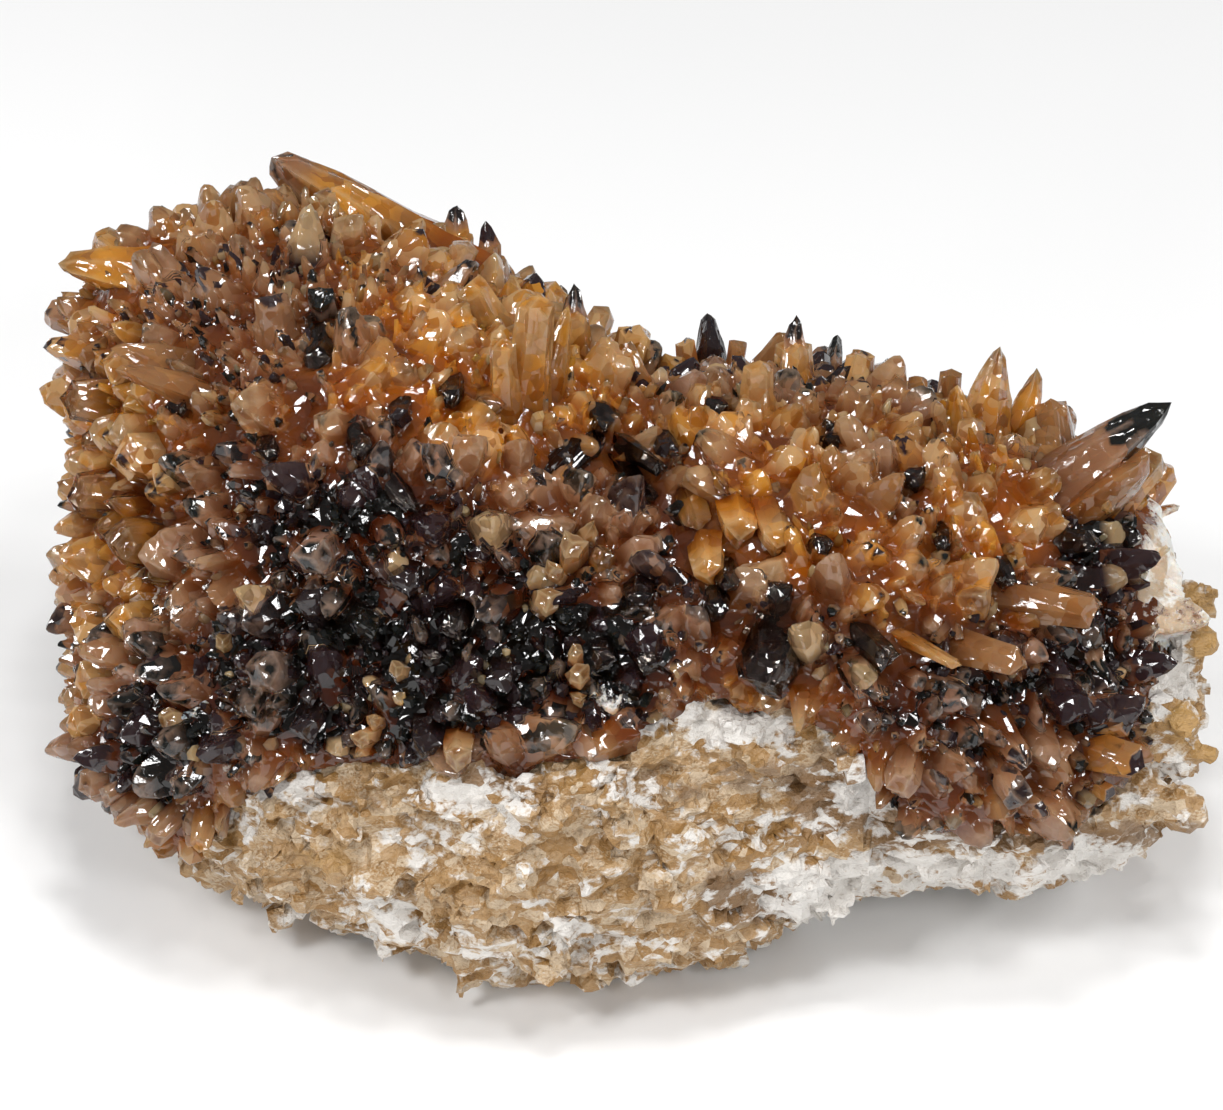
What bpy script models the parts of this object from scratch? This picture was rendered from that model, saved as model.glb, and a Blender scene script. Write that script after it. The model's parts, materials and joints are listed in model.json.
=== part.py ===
"""Calcite specimen: a long mound of honey and smoky calcite crystals grown together on a pale,
broken calcite matrix. Metres, +Z up. The origin is on the flat underside of the matrix.

Every length below is in millimetres; mesh_object() turns them into metres.
"""

import math
import random

import bpy
from mathutils import Matrix, Vector, noise

MM = 0.001

# The mound is laid out on a picture plane that leans back, as it is seen from in front and above:
# u to the right, v up along the plane, and depth towards the eye.
PICTURE_LEAN = math.radians(35)
EYE_DISTANCE = 750
PICTURE_CENTRE = Vector((0, 0, 43))
RIGHT = Vector((1, 0, 0))
UP = Vector((0, math.sin(PICTURE_LEAN), math.cos(PICTURE_LEAN)))
NEAR = Vector((0, -math.cos(PICTURE_LEAN), math.sin(PICTURE_LEAN)))

# The mound without its crystals, as its outline is seen on the picture plane, clockwise from the left.
OUTLINE = [
    (-87, 16), (-86, 42), (-76, 50), (-60, 55), (-50, 55), (-38, 50), (-22, 42),
    (-8, 32), (10, 27), (29, 27), (48, 23), (67, 17), (81, 9), (87, -4), (88, -26),
    (83, -45), (70, -52), (41, -52), (22, -60), (-13, -67), (-23, -68), (-42, -60),
    (-63, -54), (-76, -42), (-86, -30), (-87, -10),
]
OUTLINE_CENTRE = (0, -4)
FRONT_THICKNESS = 40
FRONT_FULLNESS = 2.5
BACK_THICKNESS = 38
BACK_FULLNESS = 2.8
TOP_SET_BACK = 0.30     # how far the outline lies back for each millimetre up the picture plane

# Swellings and hollows of the front: centre on the picture plane, radius and height.
SWELLINGS = [
    ((-44, 18), 30, 10),    # left dome
    ((46, -4), 26, 6),      # right ridge
    ((-6, 14), 16, -6),     # valley between them
    ((-40, -25), 16, -4),   # hollow above the matrix, left
    ((62, -24), 15, -5),    # hollow above the matrix, right
    ((-20, -48), 26, 5),    # ledge of the matrix
]

# Where the crystals end and the matrix begins, on the picture plane, from left to right.
CONTACT = [
    (-120, -50), (-86, -48), (-70, -45), (-66, -38), (-54, -34), (-34, -33), (-13, -33), (0, -28),
    (8, -23), (21, -24), (34, -30), (39, -38), (47, -44), (66, -43), (77, -38), (81, -20),
    (83, -4), (86, 11), (120, 16),
]
CONTACT_DIP = math.radians(42)  # slope of the contact into the mound, up the picture plane
CONTACT_LIP = -8                # outside the mound the contact drops away from here on,
END_LIP = -55                   # and further out at the right end, where stubs stand on the matrix
CONTACT_GAP = 0.7

SIDES = 40
FRONT_RINGS = 5
BACK_RINGS = 4
ROUGHNESS = 1.6
ROUGH_SCALE = 0.055
NOISE_SEED = 4

# Crystals that show one by one: foot (u, v), heading on the picture plane and lean towards the eye
# in degrees, length out of the mound, width, form.
SKYLINE_CRYSTALS = [
    ((-40, 51), 145, 5, 23, 13, "tooth"),
    ((-46, 52), 130, 15, 9, 8, "stub"),
    ((-75, 50), 100, 20, 7.5, 4.5, "tooth"),
    ((-66, 53), 70, 10, 7.5, 9, "clump"),
    ((-77, 45), 172, 10, 16, 11, "tooth"),
    ((-80, 47), 146, 5, 9, 8, "stub"),
    ((-83, 34), 200, 20, 7, 7, "stub"),
    ((-82, 25), 176, 15, 10.5, 8, "clump"),
    ((-82, 17), 200, 10, 8, 7, "stub"),
    ((-82, 10), 180, 15, 9.5, 8, "clump"),
    ((-83, -1), 172, 10, 9.5, 7, "tooth"),
    ((-83, -11), 176, 10, 8, 7, "stub"),
    ((-83, -18), 190, 10, 7.5, 8, "clump"),
    ((-84, -26), 178, 10, 7.5, 7, "stub"),
    ((-82, -34), 200, 20, 8, 8, "clump"),
    ((-76, -38), 206, 20, 9, 6, "tooth"),
    ((-73, -39), 230, 25, 8, 6, "stub"),
    ((-69, -40), 260, 25, 7, 6, "stub"),
    ((-30, 48), 86, 10, 9, 10, "tipped"),
    ((-24, 46), 94, 10, 8.5, 7, "tipped"),
    ((-16, 38), 70, 12, 7, 9, "stub"),
    ((-10.7, 32), 90, 10, 12, 9, "tipped"),
    ((-2, 29), 78, 15, 9, 10, "stub"),
    ((4, 28), 60, 15, 5.5, 7, "stub"),
    ((11.5, 28), 94, 5, 12, 7, "tooth"),
    ((8.8, 28), 102, 15, 8, 5, "stub"),
    ((14.7, 28), 80, 12, 7.5, 4.5, "stub"),
    ((17, 28), 52, 10, 11, 6, "lath"),
    ((25, 26), 92, 8, 13, 9, "tipped"),
    ((30, 27), 80, 5, 9.5, 4.5, "tooth"),
    ((29, 26), 44, 20, 9, 4.5, "tooth"),
    ((34, 25), 80, 10, 9, 7, "stub"),
    ((36.5, 25), 96, 10, 7.5, 3.5, "tooth"),
    ((39.4, 24), 88, 10, 8.3, 5, "tooth"),
    ((44, 23), 85, 15, 6.5, 5.5, "stub"),
    ((49.3, 23), 88, 10, 7.5, 5.5, "stub"),
    ((55, 19), 81, 5, 15, 9.5, "tooth"),
    ((52, 18), 100, 12, 10, 6, "tooth"),
    ((60, 19), 72, 5, 12, 6.5, "tooth"),
    ((67, 16), 98, 10, 10, 9, "clump"),
    ((66, 9.6), 37, 12, 23, 9, "tooth"),
    ((70, 14), 37, 5, 12.5, 6, "tooth"),
    ((75, 8), 48, 15, 12, 9, "clump"),
]
FIELD_CRYSTALS = [
    ((-51, 50), 90, 68, 6, 5, "tooth"),
    ((-50, 38.5), 100, 55, 7, 7, "stub"),
    ((-51, 34), 265, 60, 7, 8, "stub"),
    ((-60, 41), 75, 40, 7, 5, "tooth"),
    ((-33, 46), 60, 60, 6, 7, "stub"),
    ((-28, 37), 270, 70, 6, 8, "stub"),
    ((-18, 24), 84, 25, 19, 9, "clump"),
    ((-21, 33), 118, 30, 14, 9, "stub"),
    ((-24, 25), 250, 75, 6, 8, "stub"),
    ((-45, 20), 290, 60, 7, 5.5, "stub"),
    ((-42, 16), 308, 30, 12, 6.5, "tooth"),
    ((-59, 19), 270, 60, 6, 6, "stub"),
    ((-71, 28), 240, 50, 8, 5.5, "stub"),
    ((-68, 25.6), 162, 25, 17, 6.5, "tooth"),
    ((-70, 30), 165, 22, 15, 6.5, "tooth"),
    ((-14, 13), 229, 28, 16, 7, "stub"),
    ((-2, 13), 310, 45, 9, 8, "clump"),
    ((8, 9.6), 290, 50, 9, 9, "clump"),
    ((-11, 0), 80, 65, 7, 8, "stub"),
    ((-37, -2.4), 270, 75, 6, 6.5, "stub"),
    ((0, -4.8), 270, 72, 7, 7, "stub"),
    ((-29, -8.3), 260, 65, 7, 7, "stub"),
    ((-33, -14.7), 270, 78, 5, 5, "stub"),
    ((-6, -14.4), 265, 75, 6, 6.5, "stub"),
    ((1, -15), 280, 75, 6, 6, "stub"),
    ((21, -15), 262, 60, 9, 12.5, "stub"),
    ((15, 7), 285, 60, 7, 8, "stub"),
    ((21, 6), 285, 55, 7, 8, "stub"),
    ((10.4, 2), 275, 55, 8, 8, "stub"),
    ((43, 11), 80, 65, 6, 6, "stub"),
    ((28, 1), 60, 70, 6, 5.5, "stub"),
    ((22, -7), 90, 65, 6, 6.5, "stub"),
    ((66, 3), 0, 40, 8, 6.5, "stub"),
    ((74, 4.8), 340, 40, 7, 6.5, "stub"),
    ((56, 7), 300, 25, 11, 5, "lath"),
    ((67, 13.5), 30, 65, 7, 7, "stub"),
    ((71, 9), 20, 60, 8, 8, "stub"),
    ((58, -6), 352, 25, 17, 8, "tooth"),
    ((42, -12), 330, 30, 14, 7.5, "tooth"),
    ((35, -12), 320, 50, 9, 7, "stub"),
    ((51, -14), 345, 30, 14, 6.5, "tooth"),
    ((70, -12), 300, 30, 10, 5.5, "tooth"),
    ((72, -31), 350, 30, 9, 8, "clump"),
    ((57, -33), 300, 40, 8, 8, "clump"),
    ((42, -32), 262, 50, 7, 8, "stub"),
]
# Stubs that stand on the matrix at its right end.
MATRIX_CRYSTALS = [
    ((83, -5), 5, 20, 8, 7, "stub"),
    ((84, -13), 352, 15, 8, 7, "stub"),
    ((81, -25), 350, 25, 8, 8, "stub"),
    ((83, -30), 352, 5, 11, 8, "tooth"),
    ((82, -38), 335, 15, 8, 8, "stub"),
    ((81, 3), 12, 20, 7, 7, "stub"),
]

# Smaller crystals fill the rest, fanning out of the places where the sprays started.
SPRAY_CENTRES = [(-52, 12), (-14, 8), (24, -2), (60, -4), (-46, -22), (30, -24)]
FILLER_SPACING, BACK_SPACING = 8.8, 17.0
FILLER_LENGTH = (6.5, 11.5)
FILLER_WIDTH = (7.0, 10.0)
RIM_SHORTENING = 0.62   # crystals that fill stay short where the mound turns away from the eye
FILLER_SPREAD = 0.8
ELBOW_ROOM = 5.5        # between a crystal that fills and one that shows
LEAST_ABOVE_CONTACT = 1.5
DARTS = 14000           # tries at a place when they are spread over the mound

# Form of a crystal: a tooth is a steep six-sided pyramid; the ends of the others are cut by three
# flatter faces.
CUT_FORMS = {
    # width of the end as a share of the foot's, slope of the end faces
    "stub": (0.62, 0.8),
    "lath": (0.45, 1.0),
}
LATH_THICKNESS = 0.45
SHARP_EDGE, BLUNT_EDGE = 1.08, 0.92     # radii of the alternate edges
ROOT_SHARE = 0.5                        # how deep a crystal is rooted, in widths
ROOT_LEAST = 2.5
TIP_WIDTH, TIP_RISE = 0.75, 3.5         # the inner crystal that stands out of a "tipped" one
CLUMP_SATELLITES = 2                    # crystals that grow parallel to a "clump"'s own
CLUMP_OFFSET, CLUMP_SPLAY = 0.55, 0.22

# Broken lumps of the matrix.
LUMP_SPACING, BACK_LUMP_SPACING = 8.2, 22.0
LUMP_WIDTH = (8.0, 12.0)
BACK_LUMP_WIDTH = (15.0, 21.0)
LUMP_SINK = 0.25
LUMP_TILT = 0.8
LUMP_LEAST_HEIGHT = 9.0
LUMP_OVERHANG = -0.80   # no lump stands on a surface that faces further down than this
CLEAVAGE_ANGLE = math.radians(75)

MATRIX_COLOUR = (0.62, 0.50, 0.34, 1)
CRYSTAL_COLOUR = (0.34, 0.17, 0.06, 1)


def seen(u, v, depth):
    """The point seen at (u, v) of the picture plane that lies depth in front of that plane."""
    nearer = 1 - depth / EYE_DISTANCE
    return PICTURE_CENTRE + (RIGHT * u + UP * v) * nearer + NEAR * depth


def smooth_step(x):
    x = min(1.0, max(0.0, x))
    return x * x * (3 - 2 * x)


def outline_table():
    """The outline's points as (angle, radius) about its centre, in order of angle."""
    cu, cv = OUTLINE_CENTRE
    return sorted((math.atan2(v - cv, u - cu), math.hypot(u - cu, v - cv)) for u, v in OUTLINE)


RADII = outline_table()


def outline_radius(angle):
    """Radius of the outline at an angle, on a smooth curve through its points."""
    count = len(RADII)
    turns = 0
    while angle >= RADII[-1][0]:
        angle -= 2 * math.pi
        turns += 1
    while angle < RADII[0][0] - 2 * math.pi:
        angle += 2 * math.pi

    def point(i):
        wrap, k = divmod(i, count)
        return RADII[k][0] + 2 * math.pi * wrap, RADII[k][1]

    i = -count
    while point(i + 1)[0] <= angle:
        i += 1
    (a0, r0), (a1, r1), (a2, r2), (a3, r3) = (point(i + k) for k in (-1, 0, 1, 2))
    t = (angle - a1) / (a2 - a1)
    slope1 = (r2 - r0) / (a2 - a0) * (a2 - a1)
    slope2 = (r3 - r1) / (a3 - a1) * (a2 - a1)
    return (
        (2 * t**3 - 3 * t**2 + 1) * r1 + (t**3 - 2 * t**2 + t) * slope1
        + (3 * t**2 - 2 * t**3) * r2 + (t**3 - t**2) * slope2
    )


def outline_share(u, v):
    """0 at the middle of the outline and 1 on it."""
    du, dv = u - OUTLINE_CENTRE[0], v - OUTLINE_CENTRE[1]
    return math.hypot(du, dv) / outline_radius(math.atan2(dv, du))


def swell(share, thickness, fullness):
    return thickness * (1 - min(1.0, share) ** fullness) ** (1 / fullness)


def front_depth(u, v):
    share = outline_share(u, v)
    relief = sum(
        height * math.exp(-((u - cu) ** 2 + (v - cv) ** 2) / (radius * radius))
        for (cu, cv), radius, height in SWELLINGS
    )
    fade = 1 - smooth_step((share - 0.6) / 0.4)
    return swell(share, FRONT_THICKNESS, FRONT_FULLNESS) + relief * fade - TOP_SET_BACK * v


def back_depth(u, v):
    return -swell(outline_share(u, v), BACK_THICKNESS, BACK_FULLNESS) - TOP_SET_BACK * v


def surface_point(u, v, depth_of):
    return seen(u, v, depth_of(u, v))


def roughened(point):
    """A point moved by two octaves of smooth noise."""
    coarse = noise.noise_vector(point * ROUGH_SCALE)
    fine = noise.noise_vector(point * ROUGH_SCALE * 3.1)
    return point + (coarse + 0.5 * fine) * ROUGHNESS


def contact_v(u):
    """v of the contact between crystals and matrix at u, on the front."""
    for (u0, v0), (u1, v1) in zip(CONTACT, CONTACT[1:]):
        if u <= u1:
            return v0 + (v1 - v0) * (u - u0) / (u1 - u0)
    return CONTACT[-1][1]


def contact_point(u, along, lift):
    """A point of the contact, `along` millimetres into the mound from its front."""
    v = contact_v(u)
    depth = front_depth(u, v)
    lip = CONTACT_LIP + (END_LIP - CONTACT_LIP) * smooth_step((u - 62) / 12)
    beyond = min(0.0, along - lip)
    within = max(along, lip)
    ripple = 1.5 * noise.noise(Vector((u * 0.08, within * 0.08, 4)))
    return seen(
        u,
        v + within * math.sin(CONTACT_DIP) + beyond + lift + ripple,
        depth - within * math.cos(CONTACT_DIP) - 0.4 * beyond,
    )


def above_contact(point):
    """How far a point lies above the contact, along v, in millimetres; below it is negative."""
    offset = point - PICTURE_CENTRE
    depth = offset.dot(NEAR)
    nearer = 1 - depth / EYE_DISTANCE
    u, v = offset.dot(RIGHT) / nearer, offset.dot(UP) / nearer
    start_v = contact_v(u)
    along = (front_depth(u, start_v) - depth) / math.cos(CONTACT_DIP)
    return v - start_v - along * math.sin(CONTACT_DIP)


def mesh_object(name, points, faces, helper=False):
    mesh = bpy.data.meshes.new(name)
    mesh.from_pydata([tuple(p * MM) for p in points], [], faces)
    mesh.validate()
    obj = bpy.data.objects.new(name, mesh)
    bpy.context.scene.collection.objects.link(obj)
    if helper:
        make_helper(obj)
    return obj


def make_helper(obj):
    obj.hide_render = True
    obj.display_type = "WIRE"


def mound_mesh():
    """The whole mound without crystals, as rings from the front pole over the outline to the back pole."""
    cu, cv = OUTLINE_CENTRE
    rings = [(front_depth, math.sin(i / FRONT_RINGS * math.pi / 2)) for i in range(1, FRONT_RINGS + 1)]
    rings += [(back_depth, math.sin(i / BACK_RINGS * math.pi / 2)) for i in range(BACK_RINGS - 1, 0, -1)]
    points = [surface_point(cu, cv, front_depth)]
    for depth_of, share in rings:
        for k in range(SIDES):
            angle = 2 * math.pi * k / SIDES - math.pi
            reach = share * outline_radius(angle)
            u, v = cu + reach * math.cos(angle), cv + reach * math.sin(angle)
            points.append(surface_point(u, v, depth_of))
    points.append(surface_point(cu, cv, back_depth))
    last = len(points) - 1
    faces = [(0, 1 + k, 1 + (k + 1) % SIDES) for k in range(SIDES)]
    for ring in range(len(rings) - 1):
        inner, outer = 1 + ring * SIDES, 1 + (ring + 1) * SIDES
        faces += [
            (inner + k, outer + k, outer + (k + 1) % SIDES, inner + (k + 1) % SIDES)
            for k in range(SIDES)
        ]
    rim = last - SIDES
    faces += [(last, rim + (k + 1) % SIDES, rim + k) for k in range(SIDES)]
    return [roughened(p) for p in points], faces


def block_mesh(low, high):
    """A plain box between two corners."""
    corners = [Vector((x, y, z)) for z in (low[2], high[2]) for y in (low[1], high[1]) for x in (low[0], high[0])]
    faces = [(0, 2, 3, 1), (4, 5, 7, 6), (0, 1, 5, 4), (2, 6, 7, 3), (0, 4, 6, 2), (1, 3, 7, 5)]
    return corners, faces


def contact_cutter_mesh(lift, reach):
    """A thick blanket whose one side is the contact, moved by lift, and whose other side lies reach from it."""
    columns = range(-112, 113, 8)
    rows = (-90, END_LIP, CONTACT_LIP, 0, 30, 60, 100, 160)
    near_side = [contact_point(u, along, lift) for along in rows for u in columns]
    far_side = [p + UP * reach for p in near_side]
    wide, count = len(columns), len(near_side)
    faces = []
    for r in range(len(rows) - 1):
        for c in range(wide - 1):
            a, b = r * wide + c, (r + 1) * wide + c
            for i, j, k in ((a, a + 1, b + 1), (a, b + 1, b)):
                faces.append((i, j, k))
                faces.append((count + i, count + k, count + j))
    border = [(r * wide, (r + 1) * wide) for r in range(len(rows) - 1)]
    border += [((len(rows) - 1) * wide + c, (len(rows) - 1) * wide + c + 1) for c in range(wide - 1)]
    border += [((r + 1) * wide + wide - 1, r * wide + wide - 1) for r in range(len(rows) - 1)]
    border += [(c + 1, c) for c in range(wide - 1)]
    faces += [(a, b, count + b, count + a) for a, b in border]
    if reach > 0:
        faces = [tuple(reversed(face)) for face in faces]
    return near_side + far_side, faces


def tooth_mesh(length, width, root):
    """A pointed crystal along +Z with its foot ring at -root."""
    spread = 1 + root / length
    ring = [width / 2 * (SHARP_EDGE if k % 2 == 0 else BLUNT_EDGE) * spread for k in range(6)]
    points = [radial(ring[k], k, -root) for k in range(6)] + [Vector((0, 0, length))]
    faces = [(5, 4, 3, 2, 1, 0)] + [(k, (k + 1) % 6, 6) for k in range(6)]
    return points, faces


def crystal_mesh(length, width, form, root):
    """A crystal along +Z with its foot ring at -root, pointed or with three end faces."""
    if form == "tooth":
        return tooth_mesh(length, width, root)
    end_share, slope = CUT_FORMS[form]
    ring = [width / 2 * (SHARP_EDGE if k % 2 == 0 else BLUNT_EDGE) for k in range(6)]
    height = (length + root) / (1 - end_share)      # of the whole pyramid, above the foot ring
    points = [radial(ring[k], k, -root) for k in range(6)]
    for k in range(6):
        fall = slope * ring[k] * (0.5 if k % 2 == 0 else 1.0)
        drop = fall * end_share / (1 - fall / height)
        points.append(radial(ring[k] * (end_share + drop / height), k, length - drop))
    points.append(Vector((0, 0, length)))
    faces = [(5, 4, 3, 2, 1, 0)]
    faces += [(k, (k + 1) % 6, 6 + (k + 1) % 6, 6 + k) for k in range(6)]
    faces += [(12, 6 + k, 6 + k + 1, 6 + (k + 2) % 6) for k in (0, 2, 4)]
    if form == "lath":
        points = [Vector((p.x, p.y * LATH_THICKNESS, p.z)) for p in points]
    return points, faces


def radial(radius, k, z):
    return Vector((radius * math.cos(k * math.pi / 3), radius * math.sin(k * math.pi / 3), z))


def axis_frame(origin, axis, roll):
    """A matrix that stands +Z along axis at origin, turned by roll about it."""
    turn = Vector((0, 0, 1)).rotation_difference(axis).to_matrix().to_4x4()
    return Matrix.Translation(origin) @ turn @ Matrix.Rotation(roll, 4, "Z")


def heading_axis(heading, lean):
    across, toward = math.cos(math.radians(lean)), math.sin(math.radians(lean))
    flat = RIGHT * math.cos(math.radians(heading)) + UP * math.sin(math.radians(heading))
    return (flat * across + NEAR * toward).normalized()


def add_crystal(collection, name, foot, axis, roll, length, width, form):
    """One crystal, with its companions, as helper objects in a collection."""
    shapes = [(foot, axis, length, width, form)]
    if form == "tipped":
        shapes = [
            (foot, axis, length - TIP_RISE, width, "stub"),
            (foot, axis, length, width * TIP_WIDTH, "tooth"),
        ]
    if form == "clump":
        shapes = [(foot, axis, length, width, "stub")]
        draw = random.Random(name)
        across = axis.orthogonal().normalized()
        for n in range(CLUMP_SATELLITES):
            turn = Matrix.Rotation(roll + math.tau * n / CLUMP_SATELLITES, 3, axis)
            side = turn @ across
            shapes.append((
                foot + side * width * CLUMP_OFFSET,
                (axis + side * CLUMP_SPLAY).normalized(),
                length * draw.uniform(0.55, 0.85),
                width * draw.uniform(0.55, 0.75),
                draw.choice(("stub", "tooth")),
            ))
    for number, (place, direction, reach, wide, shape) in enumerate(shapes):
        points, faces = crystal_mesh(reach, wide, shape, ROOT_LEAST + ROOT_SHARE * wide)
        frame = axis_frame(place, direction, roll + number)
        put_helper(collection, f"{name}_{number}", [frame @ p for p in points], faces)


def put_helper(collection, name, points, faces):
    obj = mesh_object(name, points, faces, helper=True)
    bpy.context.scene.collection.objects.unlink(obj)
    collection.objects.link(obj)


def add_shown_crystals(collection, crystals, prefix):
    for n, ((u, v), heading, lean, length, width, form) in enumerate(crystals):
        roll = random.Random(n).uniform(0, math.pi / 3)
        foot = surface_point(u, v, front_depth)
        add_crystal(collection, f"{prefix}_{n}", foot, heading_axis(heading, lean), roll, length, width, form)


def spread_over(points, faces, spacing_of, seed):
    """Places and normals on a surface, no two nearer than the spacing there, by throwing darts."""
    draw = random.Random(seed)
    triangles = [(f[0], f[i], f[i + 1]) for f in faces for i in range(1, len(f) - 1)]
    corners = [[points[i] for i in triangle] for triangle in triangles]
    crosses = [(b - a).cross(c - a) for a, b, c in corners]
    areas = [cross.length for cross in crosses]
    taken = []
    for index in draw.choices(range(len(corners)), weights=areas, k=DARTS):
        a, b, c = corners[index]
        p, q = draw.random(), draw.random()
        if p + q > 1:
            p, q = 1 - p, 1 - q
        place, normal = a + (b - a) * p + (c - a) * q, crosses[index].normalized()
        if all((place - other).length > spacing_of(normal) for other, _ in taken):
            taken.append((place, normal))
    return taken


def facing(normal):
    """Whether a surface turns towards the eye."""
    return normal.dot(NEAR) > -0.15


def spray_axis(place, normal, draw):
    """Outward, fanned away from the nearest spray centre, with some scatter."""
    u, v = place.dot(RIGHT), (place - PICTURE_CENTRE).dot(UP)
    cu, cv = min(SPRAY_CENTRES, key=lambda c: (c[0] - u) ** 2 + (c[1] - v) ** 2)
    fan = (RIGHT * (u - cu) + UP * (v - cv)) / 30
    if fan.length > 1:
        fan.normalize()
    scatter = Vector([draw.uniform(-1, 1) for _ in range(3)])
    return (normal + FILLER_SPREAD * fan + 0.35 * scatter).normalized()


def filler_spacing(normal):
    return FILLER_SPACING if facing(normal) else BACK_SPACING


def add_filler_crystals(collection, points, faces):
    shown = [surface_point(*c[0], front_depth) for c in SKYLINE_CRYSTALS + FIELD_CRYSTALS]
    draw = random.Random(11)
    for number, (foot, normal) in enumerate(spread_over(points, faces, filler_spacing, seed=12)):
        if above_contact(foot) < LEAST_ABOVE_CONTACT:
            continue
        if any((foot - place).length < ELBOW_ROOM for place in shown):
            continue
        length = draw.uniform(*FILLER_LENGTH)
        if abs(normal.dot(NEAR)) < 0.5:
            length *= RIM_SHORTENING
        add_crystal(
            collection, f"filler_{number}", foot, spray_axis(foot, normal, draw), draw.uniform(0, 1),
            length, draw.uniform(*FILLER_WIDTH), draw.choice(("tooth", "tooth", "tooth", "stub")),
        )


def lump_mesh(width, draw):
    """A cleavage rhomb, its three edge directions leaning as calcite's do, with unequal sides."""
    lean = math.cos(CLEAVAGE_ANGLE)
    lean *= 0.7
    edges = [Vector((1, lean, lean)), Vector((lean, 1, lean)), Vector((lean, lean, 1))]
    sides = [width * draw.uniform(*share) for share in ((0.8, 1.0), (0.65, 0.9), (0.5, 0.8))]
    corners = [
        sum((edges[i] * sides[i] * (bits[i] - 0.5) for i in range(3)), Vector())
        for bits in [(x, y, z) for z in (0, 1) for y in (0, 1) for x in (0, 1)]
    ]
    faces = block_mesh((0, 0, 0), (1, 1, 1))[1]
    return corners, faces


def lump_spacing(normal):
    return LUMP_SPACING if facing(normal) else BACK_LUMP_SPACING


def add_lumps(collection, points, faces):
    draw = random.Random(21)
    for number, (foot, normal) in enumerate(spread_over(points, faces, lump_spacing, seed=22)):
        width = draw.uniform(*(LUMP_WIDTH if facing(normal) else BACK_LUMP_WIDTH))
        place = foot - normal * width * LUMP_SINK
        if above_contact(place) > 2 or place.z < LUMP_LEAST_HEIGHT or normal.z < LUMP_OVERHANG:
            continue
        corners, sides = lump_mesh(width, draw)
        tilt = Vector([draw.uniform(-1, 1) for _ in range(3)]) * LUMP_TILT
        frame = axis_frame(place, (normal + tilt).normalized(), draw.uniform(0, math.tau))
        put_helper(collection, f"lump_{number}", [frame @ p for p in corners], sides)


def helper_collection(name):
    collection = bpy.data.collections.new(name)
    collection.hide_render = True
    bpy.context.scene.collection.children.link(collection)
    return collection


def boolean(obj, name, operation, cutter):
    """The exact solver loses most of the matrix or the cluster, so the cuts use the manifold one."""
    modifier = obj.modifiers.new(name, "BOOLEAN")
    modifier.solver = "MANIFOLD"
    modifier.operation = operation
    if isinstance(cutter, bpy.types.Collection):
        modifier.operand_type = "COLLECTION"
        modifier.collection = cutter
    else:
        modifier.object = cutter
    return modifier


def principled(name, colour, roughness):
    material = bpy.data.materials.new(name)
    material.use_nodes = True
    shader = material.node_tree.nodes["Principled BSDF"]
    shader.inputs["Base Color"].default_value = colour
    shader.inputs["Roughness"].default_value = roughness
    shader.inputs["Metallic"].default_value = 0.0
    return material


def build_matrix(points, faces, ground):
    """The pale broken base: the mound below the contact, with its lumps, cut flat underneath."""
    above = mesh_object("above_contact", *contact_cutter_mesh(-CONTACT_GAP / 2, 200), helper=True)
    lumps = helper_collection("matrix_lumps")
    add_lumps(lumps, points, faces)
    add_shown_crystals(lumps, MATRIX_CRYSTALS, "matrix_crystal")
    matrix = mesh_object("matrix", points, faces)
    boolean(matrix, "Lumps", "UNION", lumps)
    boolean(matrix, "Contact", "DIFFERENCE", above)
    boolean(matrix, "Flat underside", "DIFFERENCE", ground)
    matrix.data.materials.append(principled("Pale broken calcite", MATRIX_COLOUR, 0.75))


def build_crystals(points, faces):
    """The crystals grown together: the mound above the contact with every crystal joined to it."""
    below = mesh_object("below_contact", *contact_cutter_mesh(CONTACT_GAP / 2, -200), helper=True)
    crystals = helper_collection("crystals")
    add_shown_crystals(crystals, SKYLINE_CRYSTALS + FIELD_CRYSTALS, "crystal")
    add_filler_crystals(crystals, points, faces)
    cluster = mesh_object("calcite_crystals", points, faces)
    boolean(cluster, "Crystals", "UNION", crystals)
    boolean(cluster, "Contact", "DIFFERENCE", below)
    cluster.data.materials.append(principled("Honey and smoky calcite", CRYSTAL_COLOUR, 0.15))


def clear_scene():
    for obj in list(bpy.data.objects):
        bpy.data.objects.remove(obj)


def main():
    clear_scene()
    noise.seed_set(NOISE_SEED)
    points, faces = mound_mesh()
    ground = mesh_object("ground", *block_mesh((-150, -150, -100), (150, 150, 0)), helper=True)
    build_matrix(points, faces, ground)
    build_crystals(points, faces)


main()
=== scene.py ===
import json
import math
import random

import bmesh
import bpy
import numpy as np
from mathutils import Matrix, Vector, noise

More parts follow.
